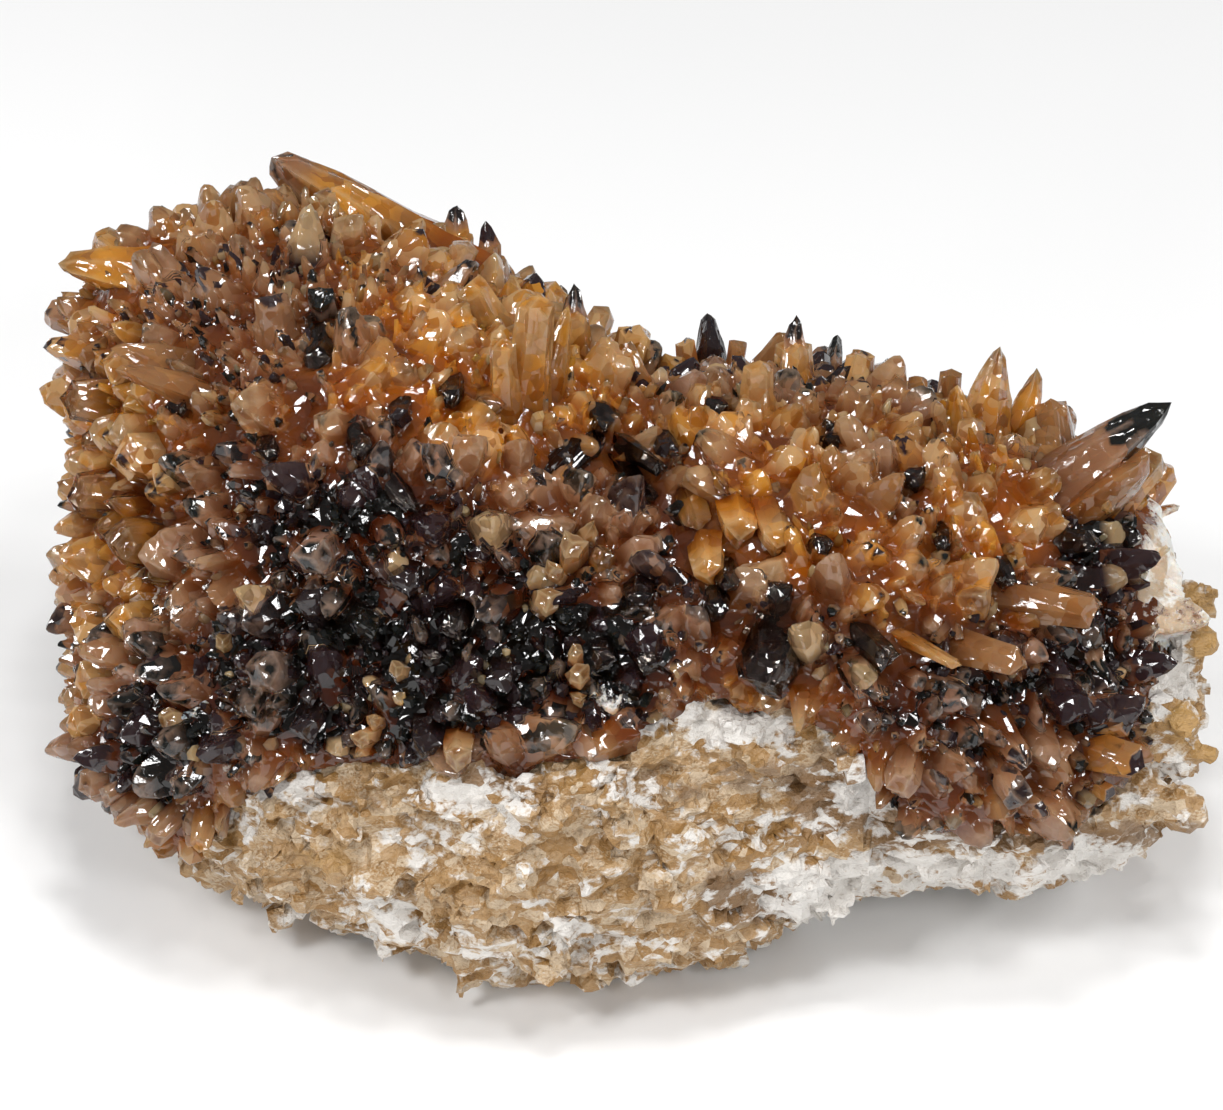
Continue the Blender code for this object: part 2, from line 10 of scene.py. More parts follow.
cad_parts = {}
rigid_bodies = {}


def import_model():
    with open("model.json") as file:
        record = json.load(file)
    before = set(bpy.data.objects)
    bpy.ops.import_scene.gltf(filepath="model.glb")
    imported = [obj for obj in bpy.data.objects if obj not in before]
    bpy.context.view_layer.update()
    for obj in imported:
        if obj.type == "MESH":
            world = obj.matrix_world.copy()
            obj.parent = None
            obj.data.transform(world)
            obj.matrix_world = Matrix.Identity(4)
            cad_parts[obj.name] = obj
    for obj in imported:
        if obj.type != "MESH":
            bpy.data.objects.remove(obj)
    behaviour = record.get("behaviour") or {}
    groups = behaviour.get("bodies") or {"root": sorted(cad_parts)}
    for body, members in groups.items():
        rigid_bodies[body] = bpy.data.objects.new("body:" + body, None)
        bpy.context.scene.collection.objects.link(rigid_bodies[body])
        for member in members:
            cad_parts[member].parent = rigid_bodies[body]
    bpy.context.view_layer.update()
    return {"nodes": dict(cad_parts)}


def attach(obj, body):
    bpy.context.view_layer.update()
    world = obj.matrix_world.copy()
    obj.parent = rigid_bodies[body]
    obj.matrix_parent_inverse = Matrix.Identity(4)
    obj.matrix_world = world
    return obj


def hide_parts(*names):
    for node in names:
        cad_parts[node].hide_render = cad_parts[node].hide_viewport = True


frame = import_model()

MM = 0.001


# The matrix is massive calcite, pale tan and gold with white powdery patches. It broke along its
# cleavages into small tilted blocks, and the crystals stand on it. Its form is the solid's own, with
# the finer break put over it.

ROCK_GRAIN = 0.95 * MM
BLOCK_SIZE, BLOCK_TILT, BLOCK_STEP = 6.5 * MM, 0.26, 1.2 * MM
CHIP_SIZE, CHIP_TILT, CHIP_STEP = 2.0 * MM, 0.28, 0.3 * MM
LUMP_SIZE, LUMP_HEIGHT = 8.0 * MM, 3.6 * MM
LAYERING = (1, 1, 1.7)

ROCK_TAN = (0.40, 0.26, 0.13, 1)
ROCK_GOLD = (0.29, 0.155, 0.045, 1)
ROCK_CREAM = (0.54, 0.43, 0.30, 1)
ROCK_WHITE = (0.70, 0.68, 0.65, 1)
# Brown of the rock's stains, also used as painted shade in its crevices.
ROCK_STAIN_AND_SHADE_BROWN = (0.16, 0.085, 0.035, 1)
ROCK_HONEY = (0.38, 0.22, 0.07, 1)
POWDER_SIZE, SPECK_SIZE, DUST_SIZE, STAIN_SIZE = 9 * MM, 2.2 * MM, 0.5 * MM, 6 * MM
ROCK_RELIEF, ROCK_RELIEF_STRENGTH = 0.8 * MM, 0.7
POWDER_RANGE, STAIN_RANGE, CREVICE_SHADE_RANGE = (0.74, 0.84), (0.64, 0.80), (0.44, 0.26)
UNDERSIDE_KEPT = (0.2 * MM, 4 * MM)
WELD = 0.002 * MM

# The specimen is laid out on a picture plane that leans back, as it is seen: u to the right and v up
# along the plane in millimetres, depth towards the eye.
PICTURE_LEAN = math.radians(35)
EYE_DISTANCE = 750
PICTURE_CENTRE = Vector((0, 0, 43))
RIGHT = Vector((1, 0, 0))
UP = Vector((0, math.sin(PICTURE_LEAN), math.cos(PICTURE_LEAN)))
NEAR = Vector((0, -math.cos(PICTURE_LEAN), math.sin(PICTURE_LEAN)))

# Where the rock is white, brown or honey-coloured: centre, radii and how much.
WHITE_PATCHES = [
    ((29, -55), (6, 5), 1.0), ((-41, -58), (5, 3), 0.7), ((-25, -39), (7, 4), 0.5), ((-12, -60), (7, 3), 0.5),
    ((14, -27), (12, 3), 0.7), ((60, -50), (32, 4), 0.75), ((86, 2), (7, 16), 0.9), ((86, -24), (5, 9), 0.7),
    ((-58, -37), (9, 3), 0.5), ((36, -38), (5, 4), 0.6),
]
BROWN_PATCHES = [
    ((16, -54), (8, 4), 0.9), ((41, -38), (5, 8), 0.6), ((62, -44), (26, 3), 0.7), ((-24, -35), (8, 3), 0.6),
    ((29, -37), (11, 7), 0.45), ((4, -36), (9, 4), 0.3),
]
HONEY_PATCHES = [
    ((90, -6), (3.5, 3.5), 1.0), ((91, -14), (3.5, 3.5), 1.0), ((87, -26), (4, 4), 1.0),
    ((92, -31), (4, 3), 1.0), ((-50, -48), (9, 4), 0.55),
]


class Number:
    """A shader or geometry socket that takes part in Python expressions."""

    def __init__(self, tree, socket):
        self.tree, self.socket = tree, socket

    def math(self, operation, a, b=0.0, clamp=False):
        node = self.tree.nodes.new("ShaderNodeMath")
        node.operation, node.use_clamp = operation, clamp
        for slot, value in zip(node.inputs, (a, b)):
            connect(self.tree, slot, value)
        return Number(self.tree, node.outputs[0])

    def __add__(self, other):
        return self.math("ADD", self, other)

    def __sub__(self, other):
        return self.math("SUBTRACT", self, other)

    def __rsub__(self, other):
        return self.math("SUBTRACT", other, self)

    def __mul__(self, other):
        return self.math("MULTIPLY", self, other)

    def __truediv__(self, other):
        return self.math("DIVIDE", self, other)

    def __rtruediv__(self, other):
        return self.math("DIVIDE", other, self)

    __radd__, __rmul__ = __add__, __mul__

    def fraction(self):
        return self.math("FRACT", self)

    def clamp(self):
        return self.math("ADD", self, 0.0, clamp=True)

    def step(self, low, high):
        """0 below low and 1 above high, straight between them."""
        return self.math("MULTIPLY", self - low, 1 / (high - low), clamp=True)


def connect(tree, slot, value):
    if isinstance(value, Number):
        tree.links.new(value.socket, slot)
    elif value is not None:
        slot.default_value = value


class NodeTree:
    """Adds nodes by type, settings and inputs to a material or a geometry tree."""

    def __init__(self, tree):
        self.tree = tree

    def node(self, kind, settings=None, inputs=None, output=0):
        """The output of a new node, or a list of them where output is a tuple of names."""
        node = self.tree.nodes.new(kind)
        for name, value in (settings or {}).items():
            setattr(node, name, value)
        for name, value in (inputs or {}).items():
            connect(self.tree, node.inputs[name], value)
        if isinstance(output, tuple):
            return [Number(self.tree, node.outputs[name]) for name in output]
        return Number(self.tree, node.outputs[output])

    def mix(self, factor, a, b, blend="MIX"):
        settings = {"data_type": "RGBA", "blend_type": blend, "clamp_factor": True}
        return self.node("ShaderNodeMix", settings, {0: factor, 6: a, 7: b}, output=2)

    def attribute(self, name, output="Fac"):
        return self.node("ShaderNodeAttribute", {"attribute_name": name}, output=output)

    def noise(self, place, size, detail=3.0, roughness=0.55, output="Fac"):
        inputs = {"Vector": place, "Scale": 1 / size, "Detail": detail, "Roughness": roughness}
        return self.node("ShaderNodeTexNoise", None, inputs, output=output)

    def place(self):
        return self.node("ShaderNodeTexCoord", output="Object")

    def vector(self, operation, a, b, output=0):
        inputs = {0: a, "Scale": b} if operation == "SCALE" else {0: a, 1: b}
        return self.node("ShaderNodeVectorMath", {"operation": operation}, inputs, output)


class Finish(NodeTree):
    """A material with one Principled shader, and the values that are the same all over it."""

    def __init__(self, name, **uniform):
        self.material = bpy.data.materials.new(name)
        self.material.use_nodes = True
        super().__init__(self.material.node_tree)
        self.shader = self.tree.nodes["Principled BSDF"]
        for socket, value in uniform.items():
            self.shader.inputs[socket.replace("_", " ")].default_value = value

    def feed(self, socket, value):
        connect(self.tree, self.shader.inputs[socket], value)

    def bump(self, height, distance, strength=1.0):
        inputs = {"Height": height, "Distance": distance, "Strength": strength}
        self.feed("Normal", self.node("ShaderNodeBump", None, inputs))


def rock_finish():
    rock = Finish("Broken pale calcite", IOR=1.55)
    place = rock.place()
    layered = rock.vector("MULTIPLY", place, LAYERING)
    _, (block_tint, chip_tint, _) = tilted_cells(rock, layered, CHIP_SIZE * 1.4, 0, 0)
    patches = rock.noise(layered, POWDER_SIZE, 2)
    grain = rock.noise(layered, SPECK_SIZE, 3, 0.65)
    fine = rock.noise(layered, DUST_SIZE, 1, 0.6)
    white, brown, honey = (rock.attribute(n) for n in ("white", "brown", "honey"))
    colour = rock.mix((block_tint * 0.4 + grain * 0.7).step(0.40, 0.70), ROCK_GOLD, ROCK_TAN)
    colour = rock.mix((chip_tint * 0.6 + fine * 0.6).step(0.60, 0.80) * 0.8, colour, ROCK_CREAM)
    colour = rock.mix((honey + (grain - 0.5) * 0.5).step(0.4, 0.7), colour, ROCK_HONEY)
    stained = rock.noise(place, STAIN_SIZE, 2) * 0.8 + grain * 0.3 + brown * 0.6
    stained = (stained + (chip_tint - 0.5) * 0.1).step(*STAIN_RANGE)
    colour = rock.mix(stained * 0.75, colour, ROCK_STAIN_AND_SHADE_BROWN)
    powder = patches * 0.8 + grain * 0.6 + (block_tint - 0.5) * 0.2 + white * 0.35 - honey * 0.3
    powder = powder.step(*POWDER_RANGE)
    colour = rock.mix(powder * 0.9, colour, ROCK_WHITE)
    # Painted shade: the low spots of the grain, where the bump sinks the surface, are darkened brown.
    crevice_shade = (grain + (fine - 0.5) * 0.5).step(*CREVICE_SHADE_RANGE)
    colour = rock.mix(crevice_shade * 0.4, colour, ROCK_STAIN_AND_SHADE_BROWN)
    rock.feed("Base Color", colour)
    rock.feed("Roughness", 0.35 + powder * 0.35 + fine * 0.25)
    rock.bump(grain * 0.7 + fine * 0.5 + patches * 0.2, ROCK_RELIEF, ROCK_RELIEF_STRENGTH)
    return rock.material


def geometry_tree(name, sockets):
    """A new geometry tree with the named inputs: its nodes, its inputs and where it ends."""
    tree = bpy.data.node_groups.new(name, "GeometryNodeTree")
    tree.interface.new_socket("Geometry", in_out="INPUT", socket_type="NodeSocketGeometry")
    for socket_name, kind in sockets.items():
        tree.interface.new_socket(socket_name, in_out="INPUT", socket_type=kind)
    tree.interface.new_socket("Geometry", in_out="OUTPUT", socket_type="NodeSocketGeometry")
    source = tree.nodes.new("NodeGroupInput")
    sink = tree.nodes.new("NodeGroupOutput")
    inputs = {socket.name: Number(tree, socket) for socket in source.outputs if socket.name}
    return NodeTree(tree), inputs, sink


def dressed(nodes, given, sink, geometry):
    """Ends a tree: the geometry gets the Material input and goes out."""
    inputs = {"Geometry": geometry, "Material": given["Material"]}
    nodes.tree.links.new(nodes.node("GeometryNodeSetMaterial", None, inputs).socket, sink.inputs[0])
    return nodes.tree


def set_inputs(modifier, values):
    for item in modifier.node_group.interface.items_tree:
        if item.in_out == "INPUT" and item.name in values:
            modifier[item.identifier] = values[item.name]


def made_plain(obj, name):
    """The evaluated object as a plain mesh object at the origin; the first object is removed."""
    bpy.context.view_layer.update()
    graph = bpy.context.evaluated_depsgraph_get()
    mesh = bpy.data.meshes.new_from_object(obj.evaluated_get(graph))
    mesh.name = name
    bpy.data.objects.remove(obj)
    plain = bpy.data.objects.new(name, mesh)
    bpy.context.scene.collection.objects.link(plain)
    return plain


def tilted_cells(nodes, place, size, tilt, step, bent=None):
    """Height of a surface broken into cells, each a plane tilted its own way, and three random shares.

    The cells are those of the place, or of the bent place where one is given.
    """
    inputs = {"Vector": bent or place, "Scale": 1 / size}
    colour, centre = nodes.node("ShaderNodeTexVoronoi", None, inputs, ("Color", "Position"))
    lean = nodes.vector("SUBTRACT", colour, (0.5, 0.5, 0.5))
    slope = nodes.vector("DOT_PRODUCT", nodes.vector("SUBTRACT", place, centre), lean, output="Value")
    shares = [nodes.node("ShaderNodeSeparateXYZ", None, {0: colour}, output=axis) for axis in "XYZ"]
    return slope * (2 * tilt) + (shares[1] - 0.5) * (2 * step), shares


def broken_rock_tree():
    nodes, given, sink = geometry_tree("broken_rock", {"Material": "NodeSocketMaterial"})
    place = nodes.node("GeometryNodeInputPosition")
    layered = nodes.vector("MULTIPLY", place, LAYERING)
    height = tilted_cells(nodes, layered, BLOCK_SIZE, BLOCK_TILT, BLOCK_STEP)[0]
    height = height + tilted_cells(nodes, layered, CHIP_SIZE, CHIP_TILT, CHIP_STEP)[0]
    height = height + (nodes.noise(place, LUMP_SIZE, 2) - 0.5) * LUMP_HEIGHT
    above = nodes.node("ShaderNodeSeparateXYZ", None, {0: place}, output="Z").step(*UNDERSIDE_KEPT)
    offset = nodes.vector("SCALE", nodes.node("GeometryNodeInputNormal"), height * above)
    moved = nodes.node("GeometryNodeSetPosition", None, {"Geometry": given["Geometry"], "Offset": offset})
    return dressed(nodes, given, sink, moved)


def solid_copy(node_name, name):
    """A copy of a CAD node with its loose triangles merged."""
    mesh = frame["nodes"][node_name].data.copy()
    merged = bmesh.new()
    merged.from_mesh(mesh)
    bmesh.ops.remove_doubles(merged, verts=merged.verts, dist=WELD)
    merged.to_mesh(mesh)
    merged.free()
    mesh.materials.clear()
    copy = bpy.data.objects.new(name, mesh)
    bpy.context.scene.collection.objects.link(copy)
    return copy


def seen(u, v, depth):
    """The point seen at (u, v) of the picture plane that lies depth in front of that plane."""
    nearer = 1 - depth / EYE_DISTANCE
    return PICTURE_CENTRE + (RIGHT * u + UP * v) * nearer + NEAR * depth


def picture_place(point):
    """(u, v, depth) of a point."""
    offset = point - PICTURE_CENTRE
    depth = offset.dot(NEAR)
    nearer = 1 - depth / EYE_DISTANCE
    return offset.dot(RIGHT) / nearer, offset.dot(UP) / nearer, depth


def patch_sum(patches, u, v):
    """How far (u, v) lies inside soft-edged patches, from 0 to 1."""
    total = sum(
        amount * math.exp(-(((u - cu) / ru) ** 2 + ((v - cv) / rv) ** 2) ** 1.5)
        for (cu, cv), (ru, rv), amount in patches
    )
    return min(1.0, total)


def store(mesh, name, values, kind="FLOAT"):
    layer = mesh.attributes.get(name) or mesh.attributes.new(name, kind, "POINT")
    layer.data.foreach_set("value" if kind == "FLOAT" else "vector", np.asarray(values, np.float32).ravel())


rock_form = solid_copy("matrix", "rock_form")
regrain = rock_form.modifiers.new("Grain", "REMESH")
regrain.mode, regrain.voxel_size = "VOXEL", ROCK_GRAIN
breaking = rock_form.modifiers.new("Break", "NODES")
breaking.node_group = broken_rock_tree()
set_inputs(breaking, {"Material": rock_finish()})
matrix_rock = made_plain(rock_form, "matrix_rock")
rock_places = [picture_place(v.co / MM)[:2] for v in matrix_rock.data.vertices]
rock_patches = {"white": WHITE_PATCHES, "brown": BROWN_PATCHES, "honey": HONEY_PATCHES}
for attribute_name, patches in rock_patches.items():
    store(matrix_rock.data, attribute_name, [patch_sum(patches, u, v) for u, v in rock_places])
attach(matrix_rock, "root")
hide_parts("matrix")


# The crust of calcite that the crystals grow from covers the mound above the matrix, up to the contact
# with the rock. It is honey-coloured on the slopes and nearly black in the hollows, and its finish darkens
# it all over with painted shade, as it lies between the crystals' feet. It follows the mound's outline on the
# picture plane.

OUTLINE = [
    (-87, 16), (-86, 42), (-76, 50), (-60, 55), (-50, 55), (-38, 50), (-22, 42),
    (-8, 32), (10, 27), (29, 27), (48, 23), (67, 17), (81, 9), (87, -4), (88, -26),
    (83, -45), (70, -52), (41, -52), (22, -60), (-13, -67), (-23, -68), (-42, -60),
    (-63, -54), (-76, -42), (-86, -30), (-87, -10),
]
OUTLINE_CENTRE = (0, -4)
FRONT_THICKNESS, FRONT_FULLNESS = 40, 2.5
BACK_THICKNESS, BACK_FULLNESS = 38, 2.8
TOP_SET_BACK = 0.30
# Hills and hollows of the front: centre, radius and height. They fade out towards the outline.
SWELLINGS = [
    ((-44, 18), 30, 10), ((46, -4), 26, 6), ((-6, 14), 16, -6),
    ((-40, -25), 16, -4), ((62, -24), 15, -5), ((-20, -48), 26, 5),
]
RELIEF_KEPT, RELIEF_FADE = 0.6, 0.4
# Where the crystals meet the rock on the front, from left to right.
CONTACT = [
    (-120, -50), (-86, -48), (-70, -45), (-66, -38), (-54, -34), (-34, -33), (-13, -33), (0, -28),
    (8, -23), (21, -24), (34, -30), (39, -38), (47, -44), (66, -43), (77, -38), (81, -20),
    (83, -4), (86, 11), (120, 16),
]
CONTACT_DIP = math.radians(42)
CONTACT_LIP, END_LIP = -8, -55
END_FROM, END_FADE, LIP_SLOPE = 62, 12, 0.4
RIPPLE, RIPPLE_SCALE, RIPPLE_SEED = 1.5, 0.08, 4
CONTACT_GAP = 0.7
CUTTER_COLUMNS, CUTTER_DEPTH = range(-112, 113, 8), 200
CUTTER_ROWS = (-90, END_LIP, CONTACT_LIP, 0, 30, 60, 100, 160)
CRUST_SIDES, CRUST_FRONT_RINGS, CRUST_BACK_RINGS = 150, 34, 20
ROUGHNESS, ROUGH_SCALE, NOISE_SEED = 1.6, 0.055, 4
FINE_SHARE, FINE_SCALE = 0.5, 3.1
noise.seed_set(NOISE_SEED)

# Where the crystals are smoky, on the picture plane: centre, radii and how smoky.
SMOKY_PATCHES = [
    ((-46, 6), (31, 12), 0.8), ((-42, -18), (38, 13), 1.0), ((-76, -31), (12, 8), 1.0),
    ((-13, -14), (20, 14), 0.9), ((-64, 38), (22, 16), 0.36), ((15, 31), (24, 7), 0.42),
    ((42, 29), (15, 6), 0.4), ((58, -21), (26, 9), 0.8), ((73, -10), (8, 15), 0.8),
    ((72, 4), (8, 6), 0.6), ((56, -37), (28, 8), 0.4), ((22, -11), (16, 6), 0.45),
    ((36, -2), (22, 10), 0.16), ((2, 8), (10, 8), 0.55),
]
SMOKE_BEHIND, AMBER_BEHIND, SCATTERED_SMOKE = 0.35, 0.45, 0.75
# Where they are a bright amber.
AMBER_PATCHES = [
    ((-40, 32), (14, 14), 0.9), ((-18, 28), (12, 20), 0.6), ((38, 0), (32, 16), 0.45),
    ((-82, 14), (10, 22), 0.7), ((56, 28), (8, 12), 1.0), ((-86, 44), (14, 8), 0.3),
    ((-10, 34), (7, 10), 1.0), ((12, 12), (10, 12), 0.8), ((80, 14), (8, 8), 0.9),
    ((-24, 12), (10, 10), 0.5), ((62, 2), (12, 10), 0.4),
]
# Where fine blades stand close together, and where a white crust lies.
BLADE_PATCHES = [((-62, 36), (22, 18), 1.0), ((-46, 44), (10, 8), 0.6)]
CHALK_PATCHES = [
    ((88, -5), (8, 20), 1.6), ((-74, -2), (4, 4), 0.6), ((-73, -26), (5, 4), 0.6), ((-6, -24), (3, 3), 0.6),
    ((-40, -36), (40, 3), 0.4), ((10, -24), (14, 3), 0.5),
]
RAGGED_SCALE, RAGGED_REACH, CLOUDING_SCALE = 0.13, 5, 0.14
BACK_MARGIN, BACK_FADE = 4, 12
# Where sprays of crystals started, and how far out they have bent over fully.
SPRAY_CENTRES = [(-52, 12), (-14, 8), (24, -2), (60, -4), (-46, -22), (30, -24)]
SPRAY_REACH = 30


def smooth_step(x):
    x = min(1.0, max(0.0, x))
    return x * x * (3 - 2 * x)


def polar(u, v):
    """Angle and distance of (u, v) from the outline's centre."""
    du, dv = u - OUTLINE_CENTRE[0], v - OUTLINE_CENTRE[1]
    return math.atan2(dv, du), math.hypot(du, dv)


RADII = sorted(polar(u, v) for u, v in OUTLINE)


def outline_radius(angle):
    """Radius of the outline at an angle, on a smooth curve through its points."""
    while angle >= RADII[-1][0]:
        angle -= 2 * math.pi
    while angle < RADII[0][0] - 2 * math.pi:
        angle += 2 * math.pi

    def point(i):
        wrap, k = divmod(i, len(RADII))
        return RADII[k][0] + 2 * math.pi * wrap, RADII[k][1]

    i = -len(RADII)
    while point(i + 1)[0] <= angle:
        i += 1
    (a0, r0), (a1, r1), (a2, r2), (a3, r3) = (point(i + k) for k in (-1, 0, 1, 2))
    t = (angle - a1) / (a2 - a1)
    slope1 = (r2 - r0) / (a2 - a0) * (a2 - a1)
    slope2 = (r3 - r1) / (a3 - a1) * (a2 - a1)
    return (
        (2 * t**3 - 3 * t**2 + 1) * r1 + (t**3 - 2 * t**2 + t) * slope1
        + (3 * t**2 - 2 * t**3) * r2 + (t**3 - t**2) * slope2
    )


def outline_share(u, v):
    """0 at the middle of the outline and 1 on it."""
    angle, distance = polar(u, v)
    return distance / outline_radius(angle)


def swell(share, thickness, fullness):
    return thickness * (1 - min(1.0, share) ** fullness) ** (1 / fullness)


def front_depth(u, v):
    share = outline_share(u, v)
    relief = sum(
        height * math.exp(-((u - cu) ** 2 + (v - cv) ** 2) / (radius * radius))
        for (cu, cv), radius, height in SWELLINGS
    )
    fade = 1 - smooth_step((share - RELIEF_KEPT) / RELIEF_FADE)
    return swell(share, FRONT_THICKNESS, FRONT_FULLNESS) + relief * fade - TOP_SET_BACK * v


def back_depth(u, v):
    return -swell(outline_share(u, v), BACK_THICKNESS, BACK_FULLNESS) - TOP_SET_BACK * v


def surface_point(u, v, depth_of):
    return seen(u, v, depth_of(u, v))


def roughened(point):
    coarse = noise.noise_vector(point * ROUGH_SCALE)
    fine = noise.noise_vector(point * ROUGH_SCALE * FINE_SCALE)
    return point + (coarse + FINE_SHARE * fine) * ROUGHNESS


def mound_mesh(sides, front_rings, back_rings):
    """The mound without crystals, as rings from the front pole over the outline to the back pole."""
    cu, cv = OUTLINE_CENTRE
    rings = [(front_depth, math.sin(i / front_rings * math.pi / 2)) for i in range(1, front_rings + 1)]
    rings += [(back_depth, math.sin(i / back_rings * math.pi / 2)) for i in range(back_rings - 1, 0, -1)]
    points = [surface_point(cu, cv, front_depth)]
    for depth_of, share in rings:
        for k in range(sides):
            angle = 2 * math.pi * k / sides - math.pi
            reach = share * outline_radius(angle)
            points.append(surface_point(cu + reach * math.cos(angle), cv + reach * math.sin(angle), depth_of))
    points.append(surface_point(cu, cv, back_depth))
    last = len(points) - 1
    faces = [(0, 1 + k, 1 + (k + 1) % sides) for k in range(sides)]
    for ring in range(len(rings) - 1):
        inner, outer = 1 + ring * sides, 1 + (ring + 1) * sides
        faces += [
            (inner + k, outer + k, outer + (k + 1) % sides, inner + (k + 1) % sides) for k in range(sides)
        ]
    faces += [(last, last - sides + (k + 1) % sides, last - sides + k) for k in range(sides)]
    return [roughened(p) for p in points], faces


def contact_v(u):
    """v of the contact between crystals and matrix at u, on the front."""
    for (u0, v0), (u1, v1) in zip(CONTACT, CONTACT[1:]):
        if u <= u1:
            return v0 + (v1 - v0) * (u - u0) / (u1 - u0)
    return CONTACT[-1][1]


def contact_point(u, along, lift):
    """A point of the contact, along millimetres into the mound from its front."""
    v = contact_v(u)
    depth = front_depth(u, v)
    lip = CONTACT_LIP + (END_LIP - CONTACT_LIP) * smooth_step((u - END_FROM) / END_FADE)
    beyond, within = min(0.0, along - lip), max(along, lip)
    ripple = RIPPLE * noise.noise(Vector((u * RIPPLE_SCALE, within * RIPPLE_SCALE, RIPPLE_SEED)))
    return seen(
        u,
        v + within * math.sin(CONTACT_DIP) + beyond + lift + ripple,
        depth - within * math.cos(CONTACT_DIP) - LIP_SLOPE * beyond,
    )


def above_contact(point):
    """How far a point lies above the contact, along v, in millimetres; below it is negative."""
    u, v, depth = picture_place(point)
    start_v = contact_v(u)
    along = (front_depth(u, start_v) - depth) / math.cos(CONTACT_DIP)
    return v - start_v - along * math.sin(CONTACT_DIP)


def contact_cutter_mesh(lift):
    """A thick blanket down from the contact, moved by lift."""
    near_side = [contact_point(u, along, lift) for along in CUTTER_ROWS for u in CUTTER_COLUMNS]
    far_side = [p - UP * CUTTER_DEPTH for p in near_side]
    wide, count, bands = len(CUTTER_COLUMNS), len(near_side), len(CUTTER_ROWS) - 1
    faces = []
    for r in range(bands):
        for c in range(wide - 1):
            a, b = r * wide + c, (r + 1) * wide + c
            for i, j, k in ((a, a + 1, b + 1), (a, b + 1, b)):
                faces.append((i, j, k))
                faces.append((count + i, count + k, count + j))
    border = [(r * wide, (r + 1) * wide) for r in range(bands)]
    border += [(bands * wide + c, bands * wide + c + 1) for c in range(wide - 1)]
    border += [((r + 1) * wide + wide - 1, r * wide + wide - 1) for r in range(bands)]
    border += [(c + 1, c) for c in range(wide - 1)]
    faces += [(a, b, count + b, count + a) for a, b in border]
    return near_side + far_side, faces


def mesh_object(name, points, faces):
    mesh = bpy.data.meshes.new(name)
    mesh.from_pydata([tuple(p * MM) for p in points], [], faces)
    obj = bpy.data.objects.new(name, mesh)
    bpy.context.scene.collection.objects.link(obj)
    return obj


def back_share(point):
    """0 on the side that faces the eye, and up to 1 behind it."""
    _, v, depth = picture_place(point)
    return smooth_step((-TOP_SET_BACK * v - BACK_MARGIN - depth) / BACK_FADE)


def zone(point):
    """(smoke, amber, blades, chalk) at a point of the mound, with ragged borders."""
    u, v, _ = picture_place(point)
    ragged = noise.noise_vector(point * RAGGED_SCALE) * RAGGED_REACH
    u, v = u + ragged.x, v + ragged.y
    behind = smooth_step(back_share(point))
    clouding = SCATTERED_SMOKE * max(0.0, noise.noise(point * CLOUDING_SCALE + Vector((9, 0, 0))))
    smoke = patch_sum(SMOKY_PATCHES, u, v) * (1 - behind) + SMOKE_BEHIND * behind + clouding
    amber = patch_sum(AMBER_PATCHES, u, v) * (1 - behind) + AMBER_BEHIND * behind
    return smoke, amber, patch_sum(BLADE_PATCHES, u, v), patch_sum(CHALK_PATCHES, u, v) * (1 - behind)


def fan(u, v):
    """Away from the nearest place where a spray of crystals started, along the picture plane."""
    cu, cv = min(SPRAY_CENTRES, key=lambda c: (c[0] - u) ** 2 + (c[1] - v) ** 2)
    away = (RIGHT * (u - cu) + UP * (v - cv)) / SPRAY_REACH
    return away.normalized() if away.length > 1 else away


CRUST_LIFT, CRUST_CLEAR, CRUST_FADE = 3.4, 1, 5.0
CRUST_LUMPS, CRUST_LUMP_SCALE, FRONTAL_FROM, FRONTAL_FADE = 0.5, 0.22, 0.1, 0.5
CELL_SIZE, CELL_BENDING, CELL_TILT = 2.2 * MM, 1.6 * MM, 0.32
HONEY_AMBER = (0.43, 0.175, 0.016, 1)
HONEY_DEEP = (0.22, 0.072, 0.008, 1)
HONEY_BROWN = (0.21, 0.095, 0.030, 1)
HONEY_PALE = (0.43, 0.29, 0.155, 1)
TIP_BROWN = (0.10, 0.045, 0.018, 1)
STUB_TAN = (0.40, 0.26, 0.13, 1)
MAUVE_BROWN = (0.185, 0.090, 0.048, 1)
RIM_PINK = (0.36, 0.23, 0.17, 1)
SMOKE_RED = (0.085, 0.028, 0.011, 1)
SMOKE_RED_BLACK = (0.018, 0.009, 0.010, 1)
SMOKE_BLACK = (0.006, 0.006, 0.005, 1)
# Painted shade, multiplied over the colour where the crystals meet the crust and on the crust itself.
CREASE_SHADE_AMBER = (0.58, 0.33, 0.14, 1)
CREASE_SHADE_BROWN = (0.40, 0.20, 0.10, 1)
CRUST_WHITE = (0.70, 0.68, 0.64, 1)
UNSHADED = (1, 1, 1, 1)
# From where to where each colour takes over.
PALE_RANGE, DEEP_RANGE, MAUVE_RANGE, RED_RANGE = (1.0, 1.06), (0.80, 0.84), (0.08, 0.4), (0.45, 0.85)
BLACK_RANGE, GLITTER_RANGE, CHALK_RANGE = (0.70, 0.80), (0.91, 0.92), (0.50, 0.75)
CHALK_STAIN_RANGE = (0.50, 0.66)
CLOUD_SIZE, SPECKLE_SIZE = 7 * MM, 1.1 * MM
SCRATCH_DEPTH, CHALK_DEPTH = 0.03 * MM, 0.5 * MM


